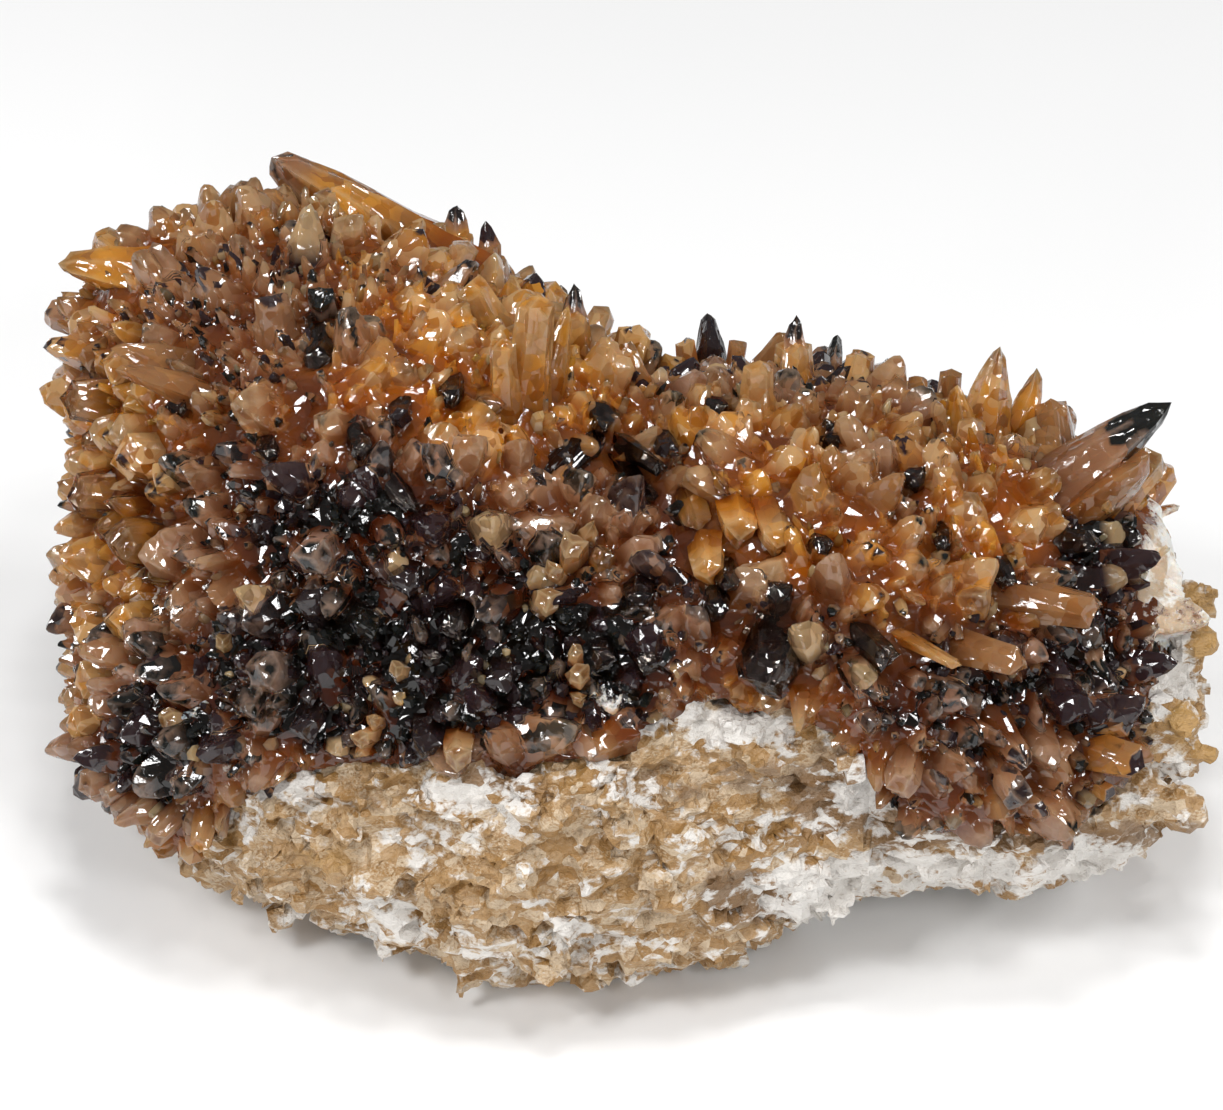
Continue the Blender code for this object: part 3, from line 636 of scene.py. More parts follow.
def crystal_finish(name):
    """Honey to smoky calcite, by what each crystal's mesh says of it, with painted shade at the crystals'
    feet and on the crust between them.
    """
    calcite = Finish(
        name, IOR=1.6, Subsurface_Weight=0.8, Subsurface_Scale=0.004, Subsurface_Radius=(1.0, 0.5, 0.2),
    )
    calcite.shader.subsurface_method = "BURLEY"
    place = calcite.place()
    axial, core, edge, smoke, amber, tint, chalk = (
        calcite.attribute(n) for n in ("axial", "core", "edge", "smoke", "amber", "tint", "chalk")
    )
    other_tint = (tint * 7.31).fraction()
    third_tint = (tint * 31.7).fraction()
    cloud = calcite.noise(place, CLOUD_SIZE, 1)
    fine = calcite.noise(place, SPECKLE_SIZE, 2, 0.6)
    push = calcite.noise(place, CELL_SIZE, 0, output="Color")
    bent = calcite.vector("ADD", place, calcite.vector("SCALE", push, CELL_BENDING))
    facets, cells = tilted_cells(calcite, place, CELL_SIZE, CELL_TILT, 0, bent)
    first_cell, second_cell, third_cell = cells
    gold = (amber + (cloud - 0.5) * 1.2 + (other_tint - 0.5) * 0.5 + (first_cell - 0.5) * 0.5).clamp()
    honey = calcite.mix(gold, HONEY_BROWN, HONEY_AMBER)
    honey = calcite.mix((tint + second_cell * 0.5).step(*PALE_RANGE) * 0.5, honey, HONEY_PALE)
    honey = calcite.mix(third_cell.step(*DEEP_RANGE) * 0.7, honey, HONEY_DEEP)
    honey = calcite.mix((smoke + (third_tint - 0.5) * 0.3).step(*MAUVE_RANGE) * 0.85, honey, MAUVE_BROWN)
    honey = calcite.mix(axial.step(0.6, 0.95) * third_tint.step(0.60, 0.66) * 0.8, honey, TIP_BROWN)
    honey = calcite.mix(smoke.step(*RED_RANGE) * 0.95, honey, SMOKE_RED)
    dark = calcite.mix(third_tint.step(0.35, 0.6), SMOKE_RED_BLACK, SMOKE_BLACK)
    crystal_smoke = smoke + (other_tint - 0.5) * 0.6
    ragged_edge = edge + (fine - 0.5) * 0.7
    inside = (1 - ragged_edge).clamp() * axial.step(0.1, 0.5)
    height = core * 0.5 + axial * axial * 0.4 + inside * 0.3
    depth = crystal_smoke * 0.9 + height * (crystal_smoke + 0.2)
    depth = (depth + (cloud - 0.5) * 0.3 + (first_cell - 0.5) * 0.35).step(*BLACK_RANGE)
    colour = calcite.mix(depth, honey, dark)
    rim = ragged_edge.step(0.45, 1.0) * axial.step(0.25, 0.75)
    rim = rim * third_tint.step(0.25, 0.5) * smoke.step(1.2, 1.05)
    rim_colour = calcite.mix(smoke.step(0.1, 0.5), HONEY_PALE, RIM_PINK)
    colour = calcite.mix(rim * 0.4, colour, rim_colour)
    glittering = other_tint.step(*GLITTER_RANGE) * smoke.step(0.35, 0.5) * axial.step(0.3, 0.6)
    colour = calcite.mix(glittering * (0.5 + second_cell * 0.4), colour, STUB_TAN)
    # Painted shade: the crystals' feet and the crust between them, where axial is low, are darkened towards a
    # deep amber or brown, for the shade in the creases.
    crease_shade = calcite.mix(smoke.step(0.2, 0.5), CREASE_SHADE_AMBER, CREASE_SHADE_BROWN)
    crease_shade = calcite.mix(axial.step(0.0, 0.55), crease_shade, UNSHADED)
    colour = calcite.mix(1.0, colour, crease_shade, "MULTIPLY")
    crusted = (chalk + (fine - 0.5) * 1.0 + (second_cell - 0.5) * 0.4).step(*CHALK_RANGE)
    stained = (cloud + (fine - 0.5) * 0.6).step(*CHALK_STAIN_RANGE)
    crust_colour = calcite.mix(stained * 0.8, CRUST_WHITE, STUB_TAN)
    colour = calcite.mix(crusted, colour, crust_colour)
    calcite.feed("Base Color", colour)
    calcite.feed("Roughness", 0.03 + fine * 0.10 + crusted * 0.6)
    calcite.bump(facets + fine * (SCRATCH_DEPTH + crusted * CHALK_DEPTH), 1.0)
    return calcite.material


def raise_crust(mesh):
    """Lifts the crust that faces the eye by what the crystals have in common, but not along the contact."""
    normals = [v.normal.copy() for v in mesh.vertices]
    for vertex, normal in zip(mesh.vertices, normals):
        clear = smooth_step((above_contact(vertex.co / MM) - CRUST_CLEAR) / CRUST_FADE)
        frontal = smooth_step((normal.dot(NEAR) - FRONTAL_FROM) / FRONTAL_FADE)
        lumps = 1 + CRUST_LUMPS * noise.noise(vertex.co / MM * CRUST_LUMP_SCALE)
        vertex.co += normal * CRUST_LIFT * clear * frontal * lumps * MM
    mesh.update()


crust_form = mesh_object("crust_form", *mound_mesh(CRUST_SIDES, CRUST_FRONT_RINGS, CRUST_BACK_RINGS))
below_contact = mesh_object("below_contact", *contact_cutter_mesh(CONTACT_GAP / 2))
parting = crust_form.modifiers.new("Contact", "BOOLEAN")
parting.solver, parting.operation, parting.object = "MANIFOLD", "DIFFERENCE", below_contact
crust = made_plain(crust_form, "crust")
bpy.data.objects.remove(below_contact)
raise_crust(crust.data)
crust_places = [v.co / MM for v in crust.data.vertices]
crust_zones = [zone(p) for p in crust_places]
for attribute_name, values in zip(("smoke", "amber", "blades", "chalk"), zip(*crust_zones)):
    store(crust.data, attribute_name, values)
for attribute_name, value in {"axial": 0.0, "core": 0.0, "edge": 0.0, "tint": 0.5}.items():
    store(crust.data, attribute_name, [value] * len(crust_places))
store(crust.data, "fan", [tuple(fan(*picture_place(p)[:2])) for p in crust_places], "FLOAT_VECTOR")
calcite_finish = crystal_finish("Honey and smoky calcite")


# The crystals that show one by one are steep six-sided teeth and stubs up to 25 mm long, alone or in
# parallel clumps. Many are phantoms: a nearly black core overgrown by clear, pinkish calcite. Each is
# closed, with its foot sunk in the crust, and stands where the solid has it.

# Foot (u, v), heading on the picture plane and lean to the eye in degrees, length, width, form and kind.
SKYLINE_CRYSTALS = [
    ((-40, 51.5), 146, 8, 24, 14.5, "tooth", "dark_end"),
    ((-35, 48), 142, 16, 19, 13, "tooth", "honey"),
    ((-46, 52), 130, 15, 9, 8, "stub", "zone"),
    ((-75, 50), 100, 20, 7.5, 4.5, "tooth", "phantom"),
    ((-66, 53), 70, 10, 7.5, 9, "clump", "mauve"),
    ((-77, 45), 172, 10, 16, 11, "tooth", "amber"),
    ((-80, 47), 146, 5, 9, 8, "stub", "honey"),
    ((-83, 34), 200, 20, 7, 7, "stub", "mauve"),
    ((-82, 25), 176, 15, 10.5, 11, "clump", "rim"),
    ((-82, 17), 200, 10, 8, 10, "stub", "honey"),
    ((-82, 10), 180, 15, 9.5, 11, "clump", "rim"),
    ((-83, -1), 172, 10, 9.5, 10, "tooth", "honey"),
    ((-83, -11), 176, 10, 8, 10, "stub", "pale"),
    ((-83, -18), 190, 10, 7.5, 10, "clump", "honey"),
    ((-84, -26), 178, 10, 7.5, 9, "stub", "pale"),
    ((-82, -34), 200, 20, 8, 8, "clump", "zone"),
    ((-76, -38), 206, 20, 9, 6, "tooth", "zone"),
    ((-73, -39), 230, 25, 8, 6, "stub", "zone"),
    ((-69, -40), 260, 25, 7, 6, "stub", "zone"),
    ((-30, 48), 86, 10, 9, 10, "tipped", "honey"),
    ((-24, 46), 94, 10, 8.5, 7, "tipped", "mauve"),
    ((-16, 38), 70, 12, 7, 9, "stub", "honey"),
    ((-10.7, 32), 90, 10, 12, 9, "tipped", "honey"),
    ((-2, 29), 78, 15, 9, 10, "stub", "pale"),
    ((4, 28), 60, 15, 5.5, 7, "stub", "pale"),
    ((11.5, 28), 94, 5, 12, 7, "tooth", "black"),
    ((8.8, 28), 102, 15, 8, 5, "stub", "pale"),
    ((14.7, 28), 80, 12, 7.5, 4.5, "stub", "mauve"),
    ((17, 28), 52, 10, 11, 6, "lath", "mauve"),
    ((25, 26), 92, 8, 13, 9, "tipped", "honey"),
    ((30, 27), 80, 5, 9.5, 4.5, "tooth", "smoky"),
    ((29, 26), 44, 20, 9, 4.5, "tooth", "black"),
    ((34, 25), 80, 10, 9, 7, "stub", "pale"),
    ((36.5, 25), 96, 10, 7.5, 3.5, "tooth", "smoky"),
    ((39.4, 24), 88, 10, 8.3, 5, "tooth", "smoky"),
    ((44, 23), 85, 15, 6.5, 5.5, "stub", "mauve"),
    ((49.3, 23), 88, 10, 7.5, 5.5, "stub", "mauve"),
    ((55, 19), 81, 5, 15, 9.5, "tooth", "yellow"),
    ((52, 18), 100, 12, 10, 6, "tooth", "honey"),
    ((60, 19), 72, 5, 12, 6.5, "tooth", "amber"),
    ((67, 16), 98, 10, 10, 9, "clump", "mauve"),
    ((65, 9.6), 38, 12, 24, 13, "tooth", "smoky"),
    ((70, 14), 37, 8, 13, 8, "tooth", "smoky"),
    ((68, 8), 33, 18, 16, 12, "tooth", "mauve"),
    ((75, 8), 48, 15, 12, 9, "clump", "yellow"),
]
FIELD_CRYSTALS = [
    ((-78, 30), 170, 45, 9, 10, "clump", "honey"),
    ((-76, 16), 175, 45, 9, 11, "clump", "pale"),
    ((-77, 3), 180, 45, 9, 11, "clump", "rim"),
    ((-78, -9), 190, 45, 8, 10, "stub", "honey"),
    ((-51, 50), 90, 68, 6, 5, "tooth", "phantom"),
    ((-50, 38.5), 100, 55, 7, 7, "stub", "smoky"),
    ((-51, 34), 265, 60, 7, 8, "stub", "phantom"),
    ((-60, 41), 75, 40, 7, 5, "tooth", "phantom"),
    ((-33, 46), 60, 60, 6, 7, "stub", "pale"),
    ((-28, 37), 270, 70, 6, 8, "stub", "pale"),
    ((-18, 24), 84, 25, 19, 9, "clump", "honey"),
    ((-21, 33), 118, 30, 14, 9, "stub", "honey"),
    ((-24, 25), 250, 75, 6, 8, "stub", "rim"),
    ((-45, 20), 290, 60, 7, 5.5, "stub", "phantom"),
    ((-42, 16), 308, 30, 12, 6.5, "tooth", "phantom"),
    ((-59, 19), 270, 60, 6, 6, "stub", "phantom"),
    ((-71, 28), 240, 50, 8, 5.5, "stub", "phantom"),
    ((-68, 25.6), 162, 25, 17, 6.5, "tooth", "mauve"),
    ((-70, 30), 165, 22, 15, 6.5, "tooth", "mauve"),
    ((-14, 13), 229, 28, 16, 7, "stub", "black"),
    ((-2, 13), 310, 45, 9, 8, "clump", "phantom"),
    ((8, 9.6), 290, 50, 9, 9, "clump", "rim"),
    ((-11, 0), 80, 65, 7, 7, "clump", "tan"),
    ((-37, -2.4), 270, 75, 6, 6.5, "stub", "black"),
    ((0, -4.8), 270, 72, 7, 7, "stub", "phantom"),
    ((-29, -8.3), 260, 65, 7, 7, "stub", "phantom"),
    ((-33, -14.7), 270, 78, 5, 5, "stub", "phantom"),
    ((-6, -14.4), 265, 75, 6, 6.5, "stub", "phantom"),
    ((1, -15), 280, 75, 6, 6, "stub", "phantom"),
    ((21, -15), 262, 60, 9, 12.5, "stub", "phantom"),
    ((15, 7), 285, 60, 7, 8, "stub", "amber"),
    ((21, 6), 285, 55, 7, 8, "stub", "honey"),
    ((10.4, 2), 275, 55, 8, 8, "stub", "honey"),
    ((43, 11), 80, 65, 6, 6, "stub", "phantom"),
    ((28, 1), 60, 70, 6, 5.5, "stub", "phantom"),
    ((22, -7), 90, 65, 6, 6.5, "stub", "phantom"),
    ((66, 3), 0, 40, 8, 6.5, "stub", "phantom"),
    ((74, 4.8), 340, 40, 7, 6.5, "stub", "phantom"),
    ((56, 7), 300, 25, 11, 5, "lath", "pale"),
    ((67, 13.5), 30, 65, 7, 7, "stub", "rim"),
    ((71, 9), 20, 60, 8, 8, "stub", "amber"),
    ((58, -6), 352, 28, 16, 9, "stub", "mauve"),
    ((42, -12), 330, 40, 12, 7.5, "lath", "honey"),
    ((35, -12), 320, 50, 9, 7, "stub", "phantom"),
    ((51, -14), 345, 40, 12, 7.5, "stub", "mauve"),
    ((70, -12), 300, 30, 10, 5.5, "tooth", "smoky"),
    ((72, -31), 350, 30, 9, 8, "clump", "zone"),
    ((57, -33), 300, 40, 8, 8, "clump", "zone"),
    ((42, -32), 262, 50, 7, 8, "stub", "zone"),
    ((-29, -30), 270, 70, 5, 6.5, "stub", "tan"),
    ((-10, -19), 80, 75, 5, 5.5, "clump", "tan"),
    ((-43, -28), 200, 70, 4.5, 4.5, "clump", "tan"),
    ((-38, -18), 120, 75, 4, 4.5, "stub", "tan"),
    ((-73, -26), 160, 60, 5, 6, "clump", "tan"),
    ((-15, -7), 60, 75, 5, 6.5, "stub", "tan"),
    ((-6, -1), 90, 70, 6, 6, "stub", "rim"),
    ((-66, -14), 90, 70, 5, 4.5, "stub", "tan"),
    ((-60, 4), 90, 70, 6, 6, "stub", "black"),
    ((-52, -8), 90, 75, 6, 6.5, "stub", "black"),
    ((-44, -11), 90, 80, 5, 5.5, "stub", "black"),
    ((-22, -18), 270, 75, 6, 6.5, "stub", "black"),
    ((-52, -24), 250, 60, 7, 7, "clump", "black"),
    ((-34, -27), 270, 60, 6, 7, "clump", "black"),
    ((12, 22), 90, 60, 6, 6.5, "stub", "phantom"),
    ((4, 19), 280, 65, 5.5, 6, "stub", "black"),
    ((31, 17), 90, 60, 5.5, 6, "clump", "phantom"),
    ((48, 4), 280, 65, 5, 5, "stub", "phantom"),
    ((36, -5), 270, 65, 5.5, 6, "stub", "black"),
    ((57, -1), 300, 55, 5.5, 5.5, "stub", "phantom"),
    ((12, -6), 270, 65, 6, 6.5, "clump", "phantom"),
    ((-30, 27), 270, 70, 5.5, 6, "stub", "phantom"),
    ((-38, 24), 270, 70, 5, 5, "stub", "black"),
    ((-8, 19), 270, 65, 5.5, 6, "clump", "phantom"),
]
# What the finish reads of a kind: smoke, amber and tint (1 is pale).
KINDS = {
    "honey": (0.0, 0.55, 0.30), "amber": (0.0, 1.0, 0.25), "pale": (0.05, 0.3, 0.95),
    "yellow": (0.0, 0.8, 0.75), "mauve": (0.30, 0.1, 0.45), "smoky": (0.36, 0.0, 0.62),
    "black": (1.3, 0.0, 0.14), "tan": (0.1, 0.3, 1.0), "phantom": (1.3, 0.0, 0.14),
    "rim": (0.0, 0.9, 0.25), "dark_end": (0.0, 0.7, 0.30),
}
ZONE_REACH = 3
DARK_TIPS, TIPPED_DARKNESS = {"smoky": 1.0, "dark_end": 0.55}, 1.2
DARK_TIP_FROM, DARK_TIP_FADE = 0.55, 0.3
# A phantom's core, as shares of the crystal that holds it.
CORE_LENGTH, CORE_WIDTH = 0.92, 0.80
CUT_FORMS = {"stub": (0.62, 0.8), "lath": (0.45, 1.0)}
LATH_THICKNESS = 0.45
SHARP_EDGE, BLUNT_EDGE = 1.08, 0.92
ROOT_SHARE, ROOT_LEAST = 0.5, 2.5
TIP_WIDTH, TIP_RISE = 0.75, 3.5
CLUMP_SATELLITES, CLUMP_OFFSET, CLUMP_SPLAY = 2, 0.55, 0.22
SATELLITE_LENGTH, SATELLITE_WIDTH = (0.55, 0.85), (0.55, 0.75)
TOOTH_FLARE = 0.7
TOOTH_RINGS = ((0.0, 0.98), (0.5, 0.74), (0.84, 0.38))
ZIGZAG, COARSE_EDGE, FACE_CORE = 0.05, 0.3, 0.6
MOST_FALL, EVEN_FALL = 0.6, 0.5
UNEVEN_WIDTH, UNEVEN_HEIGHT, OFF_CENTRE = (0.84, 1.08), 0.025, 0.06


def radial(radius, k, z):
    return Vector((radius * math.cos(k * math.pi / 3), radius * math.sin(k * math.pi / 3), z))


def crystal_mesh(length, width, form, root, draw, fine=True):
    """A crystal along +Z with its foot ring at -root: steep sides, then a blunt tip or three end faces.

    Each point has a core share, 1 in the middle of the end, and an edge share, 1 on the crystal's edges
    and 0 in the middle of its faces, where the fine mesh has points of its own.
    """
    corner = [width / 2 * edge_radius(k) * draw.uniform(*UNEVEN_WIDTH) for k in range(6)]
    if form == "tooth":
        levels = [(-root, 1 + TOOTH_FLARE * root / length, 0)]
        levels += [(height * length, share, ZIGZAG * length * (height > 0)) for height, share in TOOTH_RINGS]
        rings = [
            [radial(corner[k] * share, k, z + zigzag * (-1) ** k) for k in range(6)]
            for z, share, zigzag in levels
        ]
    else:
        end_share, slope = CUT_FORMS[form]
        height = (length + root) / (1 - end_share)
        foot, shoulder = [radial(corner[k], k, -root) for k in range(6)], []
        for k in range(6):
            fall = min(MOST_FALL * height, slope * corner[k] * (EVEN_FALL if k % 2 == 0 else 1.0))
            drop = fall * end_share / (1 - fall / height)
            shoulder.append(radial(corner[k] * (end_share + drop / height), k, length - drop))
        rings = [foot, [(a + b) / 2 for a, b in zip(foot, shoulder)], shoulder] if fine else [foot, shoulder]
    points, edges, count = [], [], 12 if fine else 6
    for ring in rings:
        for k in range(6):
            points.append(ring[k])
            edges.append(1.0)
            if fine:
                points.append((ring[k] + ring[(k + 1) % 6]) / 2)
                edges.append(float(form != "tooth" and ring is rings[-1]))
    top = len(points)
    aside = Vector((draw.uniform(-1, 1), draw.uniform(-1, 1), 0)) * width * OFF_CENTRE
    points.append(aside + Vector((0, 0, length)))
    edges.append(1.0)
    cores = [0.0] * top + [1.0]
    faces = [tuple(range(count - 1, -1, -1))]
    for low in range(0, top - count, count):
        for k in range(count):
            after = (k + 1) % count
            faces.append((low + k, low + after, low + count + after, low + count + k))
    last = top - count
    if form == "tooth":
        faces += [(last + k, last + (k + 1) % count, top) for k in range(count)]
    else:
        for k in range(0, count, count // 3):
            border = [top] + [last + (k + i) % count for i in range(count // 3 + 1)]
            if fine:
                middle = len(points)
                points.append(sum((points[i] for i in border[::2]), Vector()) / len(border[::2]))
                edges.append(0.0)
                cores.append(FACE_CORE)
                faces += [(middle, a, b) for a, b in zip(border, border[1:] + border[:1])]
            else:
                faces.append(tuple(border))
    if not fine:
        edges = [COARSE_EDGE] * len(points)
    flatness = LATH_THICKNESS if form == "lath" else 1
    for p in points:
        p.y *= flatness
        p.z += draw.uniform(-1, 1) * UNEVEN_HEIGHT * length
    return points, faces, cores, edges


def edge_radius(k):
    return SHARP_EDGE if k % 2 == 0 else BLUNT_EDGE


def axis_frame(origin, axis, roll):
    turn = Vector((0, 0, 1)).rotation_difference(axis).to_matrix().to_4x4()
    return Matrix.Translation(origin) @ turn @ Matrix.Rotation(roll, 4, "Z")


def heading_axis(heading, lean):
    across, toward = math.cos(math.radians(lean)), math.sin(math.radians(lean))
    flat = RIGHT * math.cos(math.radians(heading)) + UP * math.sin(math.radians(heading))
    return (flat * across + NEAR * toward).normalized()


class Growth:
    """Crystals gathered in one mesh, with what the finish reads of each."""

    def __init__(self):
        self.points, self.faces = [], []
        self.values = {name: [] for name in ("axial", "core", "edge", "smoke", "amber", "chalk", "tint")}
        self.draw = random.Random(1)

    def add(self, foot, axis, roll, length, width, form, tint, zones, root=None, dark_tip=0.0, fine=True):
        root = ROOT_LEAST + ROOT_SHARE * width if root is None else root
        points, faces, cores, edges = crystal_mesh(length, width, form, root, self.draw, fine)
        start = len(self.points)
        place = axis_frame(foot, axis, roll)
        self.points += [place @ p for p in points]
        self.faces += [tuple(start + i for i in face) for face in faces]
        smoke, amber, _, chalk = zones
        self.values["core"] += cores
        self.values["edge"] += edges
        for p in points:
            share = min(1.0, max(0.0, p.z / length))
            self.values["axial"].append(share)
            darkness = dark_tip * smooth_step((share - DARK_TIP_FROM) / DARK_TIP_FADE)
            self.values["smoke"].append(smoke + darkness)
        for name, value in (("amber", amber), ("chalk", chalk), ("tint", tint)):
            self.values[name] += [value] * len(points)

    def object(self, name, material):
        obj = mesh_object(name, self.points, self.faces)
        for attribute_name, values in self.values.items():
            store(obj.data, attribute_name, values)
        obj.data.materials.append(material)
        return obj


def crystal_shapes(name, foot, axis, roll, length, width, form):
    """A crystal and its companions, each as foot, axis, length, width and form."""
    if form == "tipped":
        return [
            (foot, axis, length - TIP_RISE, width, "stub"),
            (foot, axis, length, width * TIP_WIDTH, "tooth"),
        ]
    shapes = [(foot, axis, length, width, "stub" if form == "clump" else form)]
    draw = random.Random(name)
    across = axis.orthogonal().normalized()
    for n in range(CLUMP_SATELLITES if form == "clump" else 0):
        side = Matrix.Rotation(roll + math.tau * n / CLUMP_SATELLITES, 3, axis) @ across
        shapes.append((
            foot + side * width * CLUMP_OFFSET,
            (axis + side * CLUMP_SPLAY).normalized(),
            length * draw.uniform(*SATELLITE_LENGTH),
            width * draw.uniform(*SATELLITE_WIDTH),
            draw.choice(("stub", "tooth")),
        ))
    return shapes


def add_crystal(name, foot, axis, roll, length, width, form, kind="zone"):
    """One crystal with its companions; a phantom is a dark core in a clear overgrowth."""
    smoke, amber, _, chalk = zone(foot + axis * ZONE_REACH)
    tint = random.Random(name + " tint").random()
    if kind != "zone":
        smoke, amber, tint = KINDS[kind]
        chalk = 0.0
    for number, shape in enumerate(crystal_shapes(name, foot, axis, roll, length, width, form)):
        place, direction, reach, wide, outline = shape
        turn = roll + number
        if kind in ("phantom", "rim"):
            large_overgrowths.add(place, direction, turn, reach, wide, outline, tint, (smoke, amber, 0, 0))
            reach, wide = reach * CORE_LENGTH, wide * CORE_WIDTH
        dark_tip = DARK_TIPS.get(kind, TIPPED_DARKNESS if form == "tipped" and number == 1 else 0.0)
        zones = (smoke, amber, 0, chalk)
        large_growth.add(place, direction, turn, reach, wide, outline, tint, zones, dark_tip=dark_tip)


def shown_start(foot, lean):
    """Where a shown crystal starts: those that lean to the eye stand on the lifted crust."""
    return surface_point(*foot, front_depth) + NEAR * CRUST_LIFT * math.sin(math.radians(lean))


def room(point):
    """How far a point is clear of the shown crystals, in millimetres from their sides."""
    least = 99.0
    for start, axis, length, width in SHOWN_AXES:
        along = min(length, max(0.0, (point - start).dot(axis)))
        least = min(least, (point - start - axis * along).length - width / 2)
    return least


SHOWN_CRYSTALS = SKYLINE_CRYSTALS + FIELD_CRYSTALS
# Only the lower part of a crystal keeps others away.
CLEARED_LENGTH = 0.7
SHOWN_AXES = [
    (shown_start(foot, lean), heading_axis(heading, lean), CLEARED_LENGTH * length, width)
    for foot, heading, lean, length, width, *_ in SHOWN_CRYSTALS
]


CLEAR_PINK = (0.88, 0.76, 0.66, 1)
CLEAR_CELL_SIZE, CLEAR_CELL_TILT = 2.0 * MM, 0.12
WORN_GRAIN, WORN_DEPTH = 2.6 * MM, 1.3 * MM


def overgrowth_finish():
    clear = Finish(
        "Clear pinkish calcite", Base_Color=CLEAR_PINK, Transmission_Weight=1.0, IOR=1.45, Roughness=0.03,
    )
    clear.bump(tilted_cells(clear, clear.place(), CLEAR_CELL_SIZE, CLEAR_CELL_TILT, 0)[0], 1.0)
    return clear.material


def worn_tree():
    """Splits each face in four and moves the points by a little noise."""
    kinds = {"Grain": "NodeSocketFloat", "Depth": "NodeSocketFloat", "Material": "NodeSocketMaterial"}
    nodes, given, sink = geometry_tree("worn", kinds)
    split = nodes.node("GeometryNodeSubdivideMesh", None, {0: given["Geometry"], "Level": 1})
    place = nodes.node("GeometryNodeInputPosition")
    inputs = {"Vector": place, "Scale": 1 / given["Grain"], "Detail": 1.0}
    push = nodes.node("ShaderNodeTexNoise", None, inputs, output="Color")
    push = nodes.vector("SCALE", nodes.vector("SUBTRACT", push, (0.5, 0.5, 0.5)), given["Depth"])
    moved = nodes.node("GeometryNodeSetPosition", None, {"Geometry": split, "Offset": push})
    return dressed(nodes, given, sink, moved)


def worn(obj, name, material):
    modifier = obj.modifiers.new("Worn", "NODES")
    modifier.node_group = WORN
    set_inputs(modifier, {"Grain": WORN_GRAIN, "Depth": WORN_DEPTH, "Material": material})
    return made_plain(obj, name)


WORN = worn_tree()

large_growth = Growth()
large_overgrowths = Growth()
for n, (foot, heading, lean, length, width, form, kind) in enumerate(SHOWN_CRYSTALS):
    roll = random.Random(n).uniform(0, math.pi / 3)
    start, axis = shown_start(foot, lean), heading_axis(heading, lean)
    add_crystal(f"crystal_{n}", start, axis, roll, length, width, form, kind)
large_crystals = worn(large_growth.object("growth", calcite_finish), "large_crystals", calcite_finish)
clear_finish = overgrowth_finish()
clear_overgrowths = worn(large_overgrowths.object("growth", clear_finish), "clear_overgrowths", clear_finish)


# Most crystals are grown together: fat, blunt teeth 4 to 10 mm across that stand out of the crust by
# half their length, with soft creases between them. They are spread over the mound, fanning out of the
# sprays, and then fused with it to one skin.

MIDDLING = {"Spacing": 3.7 * MM, "Density": 120000.0, "Smallest": 0.5, "Largest": 1.5, "Seed": 3}
MIDDLING_FORMS = [
    # length, width, form
    (4.8, 5.6, "tooth"), (4.2, 6.2, "tooth"), (3.6, 5.2, "stub"), (2.8, 5.8, "stub"), (5.8, 5.2, "tooth"),
    (5.0, 6.6, "lath"), (4.4, 6.0, "lath"), (4.0, 4.8, "tooth"), (3.2, 6.2, "tooth"), (5.4, 5.6, "tooth"),
]
BLADES = {"Spacing": 1.9 * MM, "Density": 300000.0, "Smallest": 0.7, "Largest": 1.25, "Seed": 7}
BLADE_FORMS = [
    (4.0, 3.2, "lath"), (3.4, 2.8, "lath"), (4.8, 2.6, "tooth"), (3.8, 3.6, "lath"), (3.2, 2.4, "tooth"),
]
ROOM_NEEDED, BARE_END, BARE_END_FADE, BARE_CHALK = 2.0, 74, 5, 0.3
# How many middling crystals the blades push out, the blades that stray, and the fewest small crystals.
BLADE_CROWDING, STRAY_BLADES, STRAY_BLADES_SMOKED, FEWEST_SMALL = 0.9, 0.45, 0.4, 0.1
FILLER_SPACING, BACK_SPACING = 8.8, 17.0
FILLER_LENGTH, FILLER_WIDTH, FILLER_LIFT = (6.5, 11.5), (7.0, 10.0), 2.0
RIM_SHORTENING, RIM_FACING, BACK_FACING = 0.62, 0.5, -0.15
FILLER_SPREAD, FILLER_SCATTER = 0.8, 0.35
FILLER_SEED, DART_SEED = 11, 12
ELBOW_ROOM = 5.5
LEAST_ABOVE_CONTACT, LEAST_FEET_ABOVE = 1.5, 1.2
FORM_ROOT, FAN_WEIGHT, JITTER = 0.4, 0.55, 0.5
DARTS = 14000
SOLID_SIDES, SOLID_FRONT_RINGS, SOLID_BACK_RINGS = 40, 5, 4
SKIN_GRAIN, FACET_SHARE = 0.5 * MM, 0.16
CARRIED = ("axial", "core", "edge", "smoke", "amber", "chalk", "blades", "tint")


def spread_over(points, faces, spacing_of, seed):
    """Places and normals thrown at a surface, those kept that are the spacing there apart."""
    draw = random.Random(seed)
    triangles = [(f[0], f[i], f[i + 1]) for f in faces for i in range(1, len(f) - 1)]
    corners = [[points[i] for i in triangle] for triangle in triangles]
    crosses = [(b - a).cross(c - a) for a, b, c in corners]
    areas = [cross.length for cross in crosses]
    taken = []
    for index in draw.choices(range(len(corners)), weights=areas, k=DARTS):
        a, b, c = corners[index]
        p, q = draw.random(), draw.random()
        if p + q > 1:
            p, q = 1 - p, 1 - q
        place, normal = a + (b - a) * p + (c - a) * q, crosses[index].normalized()
        if all((place - other).length > spacing_of(normal) for other, _ in taken):
            taken.append((place, normal))
    return taken


def filler_spacing(normal):
    return FILLER_SPACING if normal.dot(NEAR) > BACK_FACING else BACK_SPACING


def spray_axis(place, normal, draw):
    """Outward, fanned away from the nearest place where a spray started, with some scatter."""
    away = fan(place.dot(RIGHT), (place - PICTURE_CENTRE).dot(UP))
    scatter = Vector([draw.uniform(-1, 1) for _ in range(3)])
    return (normal + FILLER_SPREAD * away + FILLER_SCATTER * scatter).normalized()


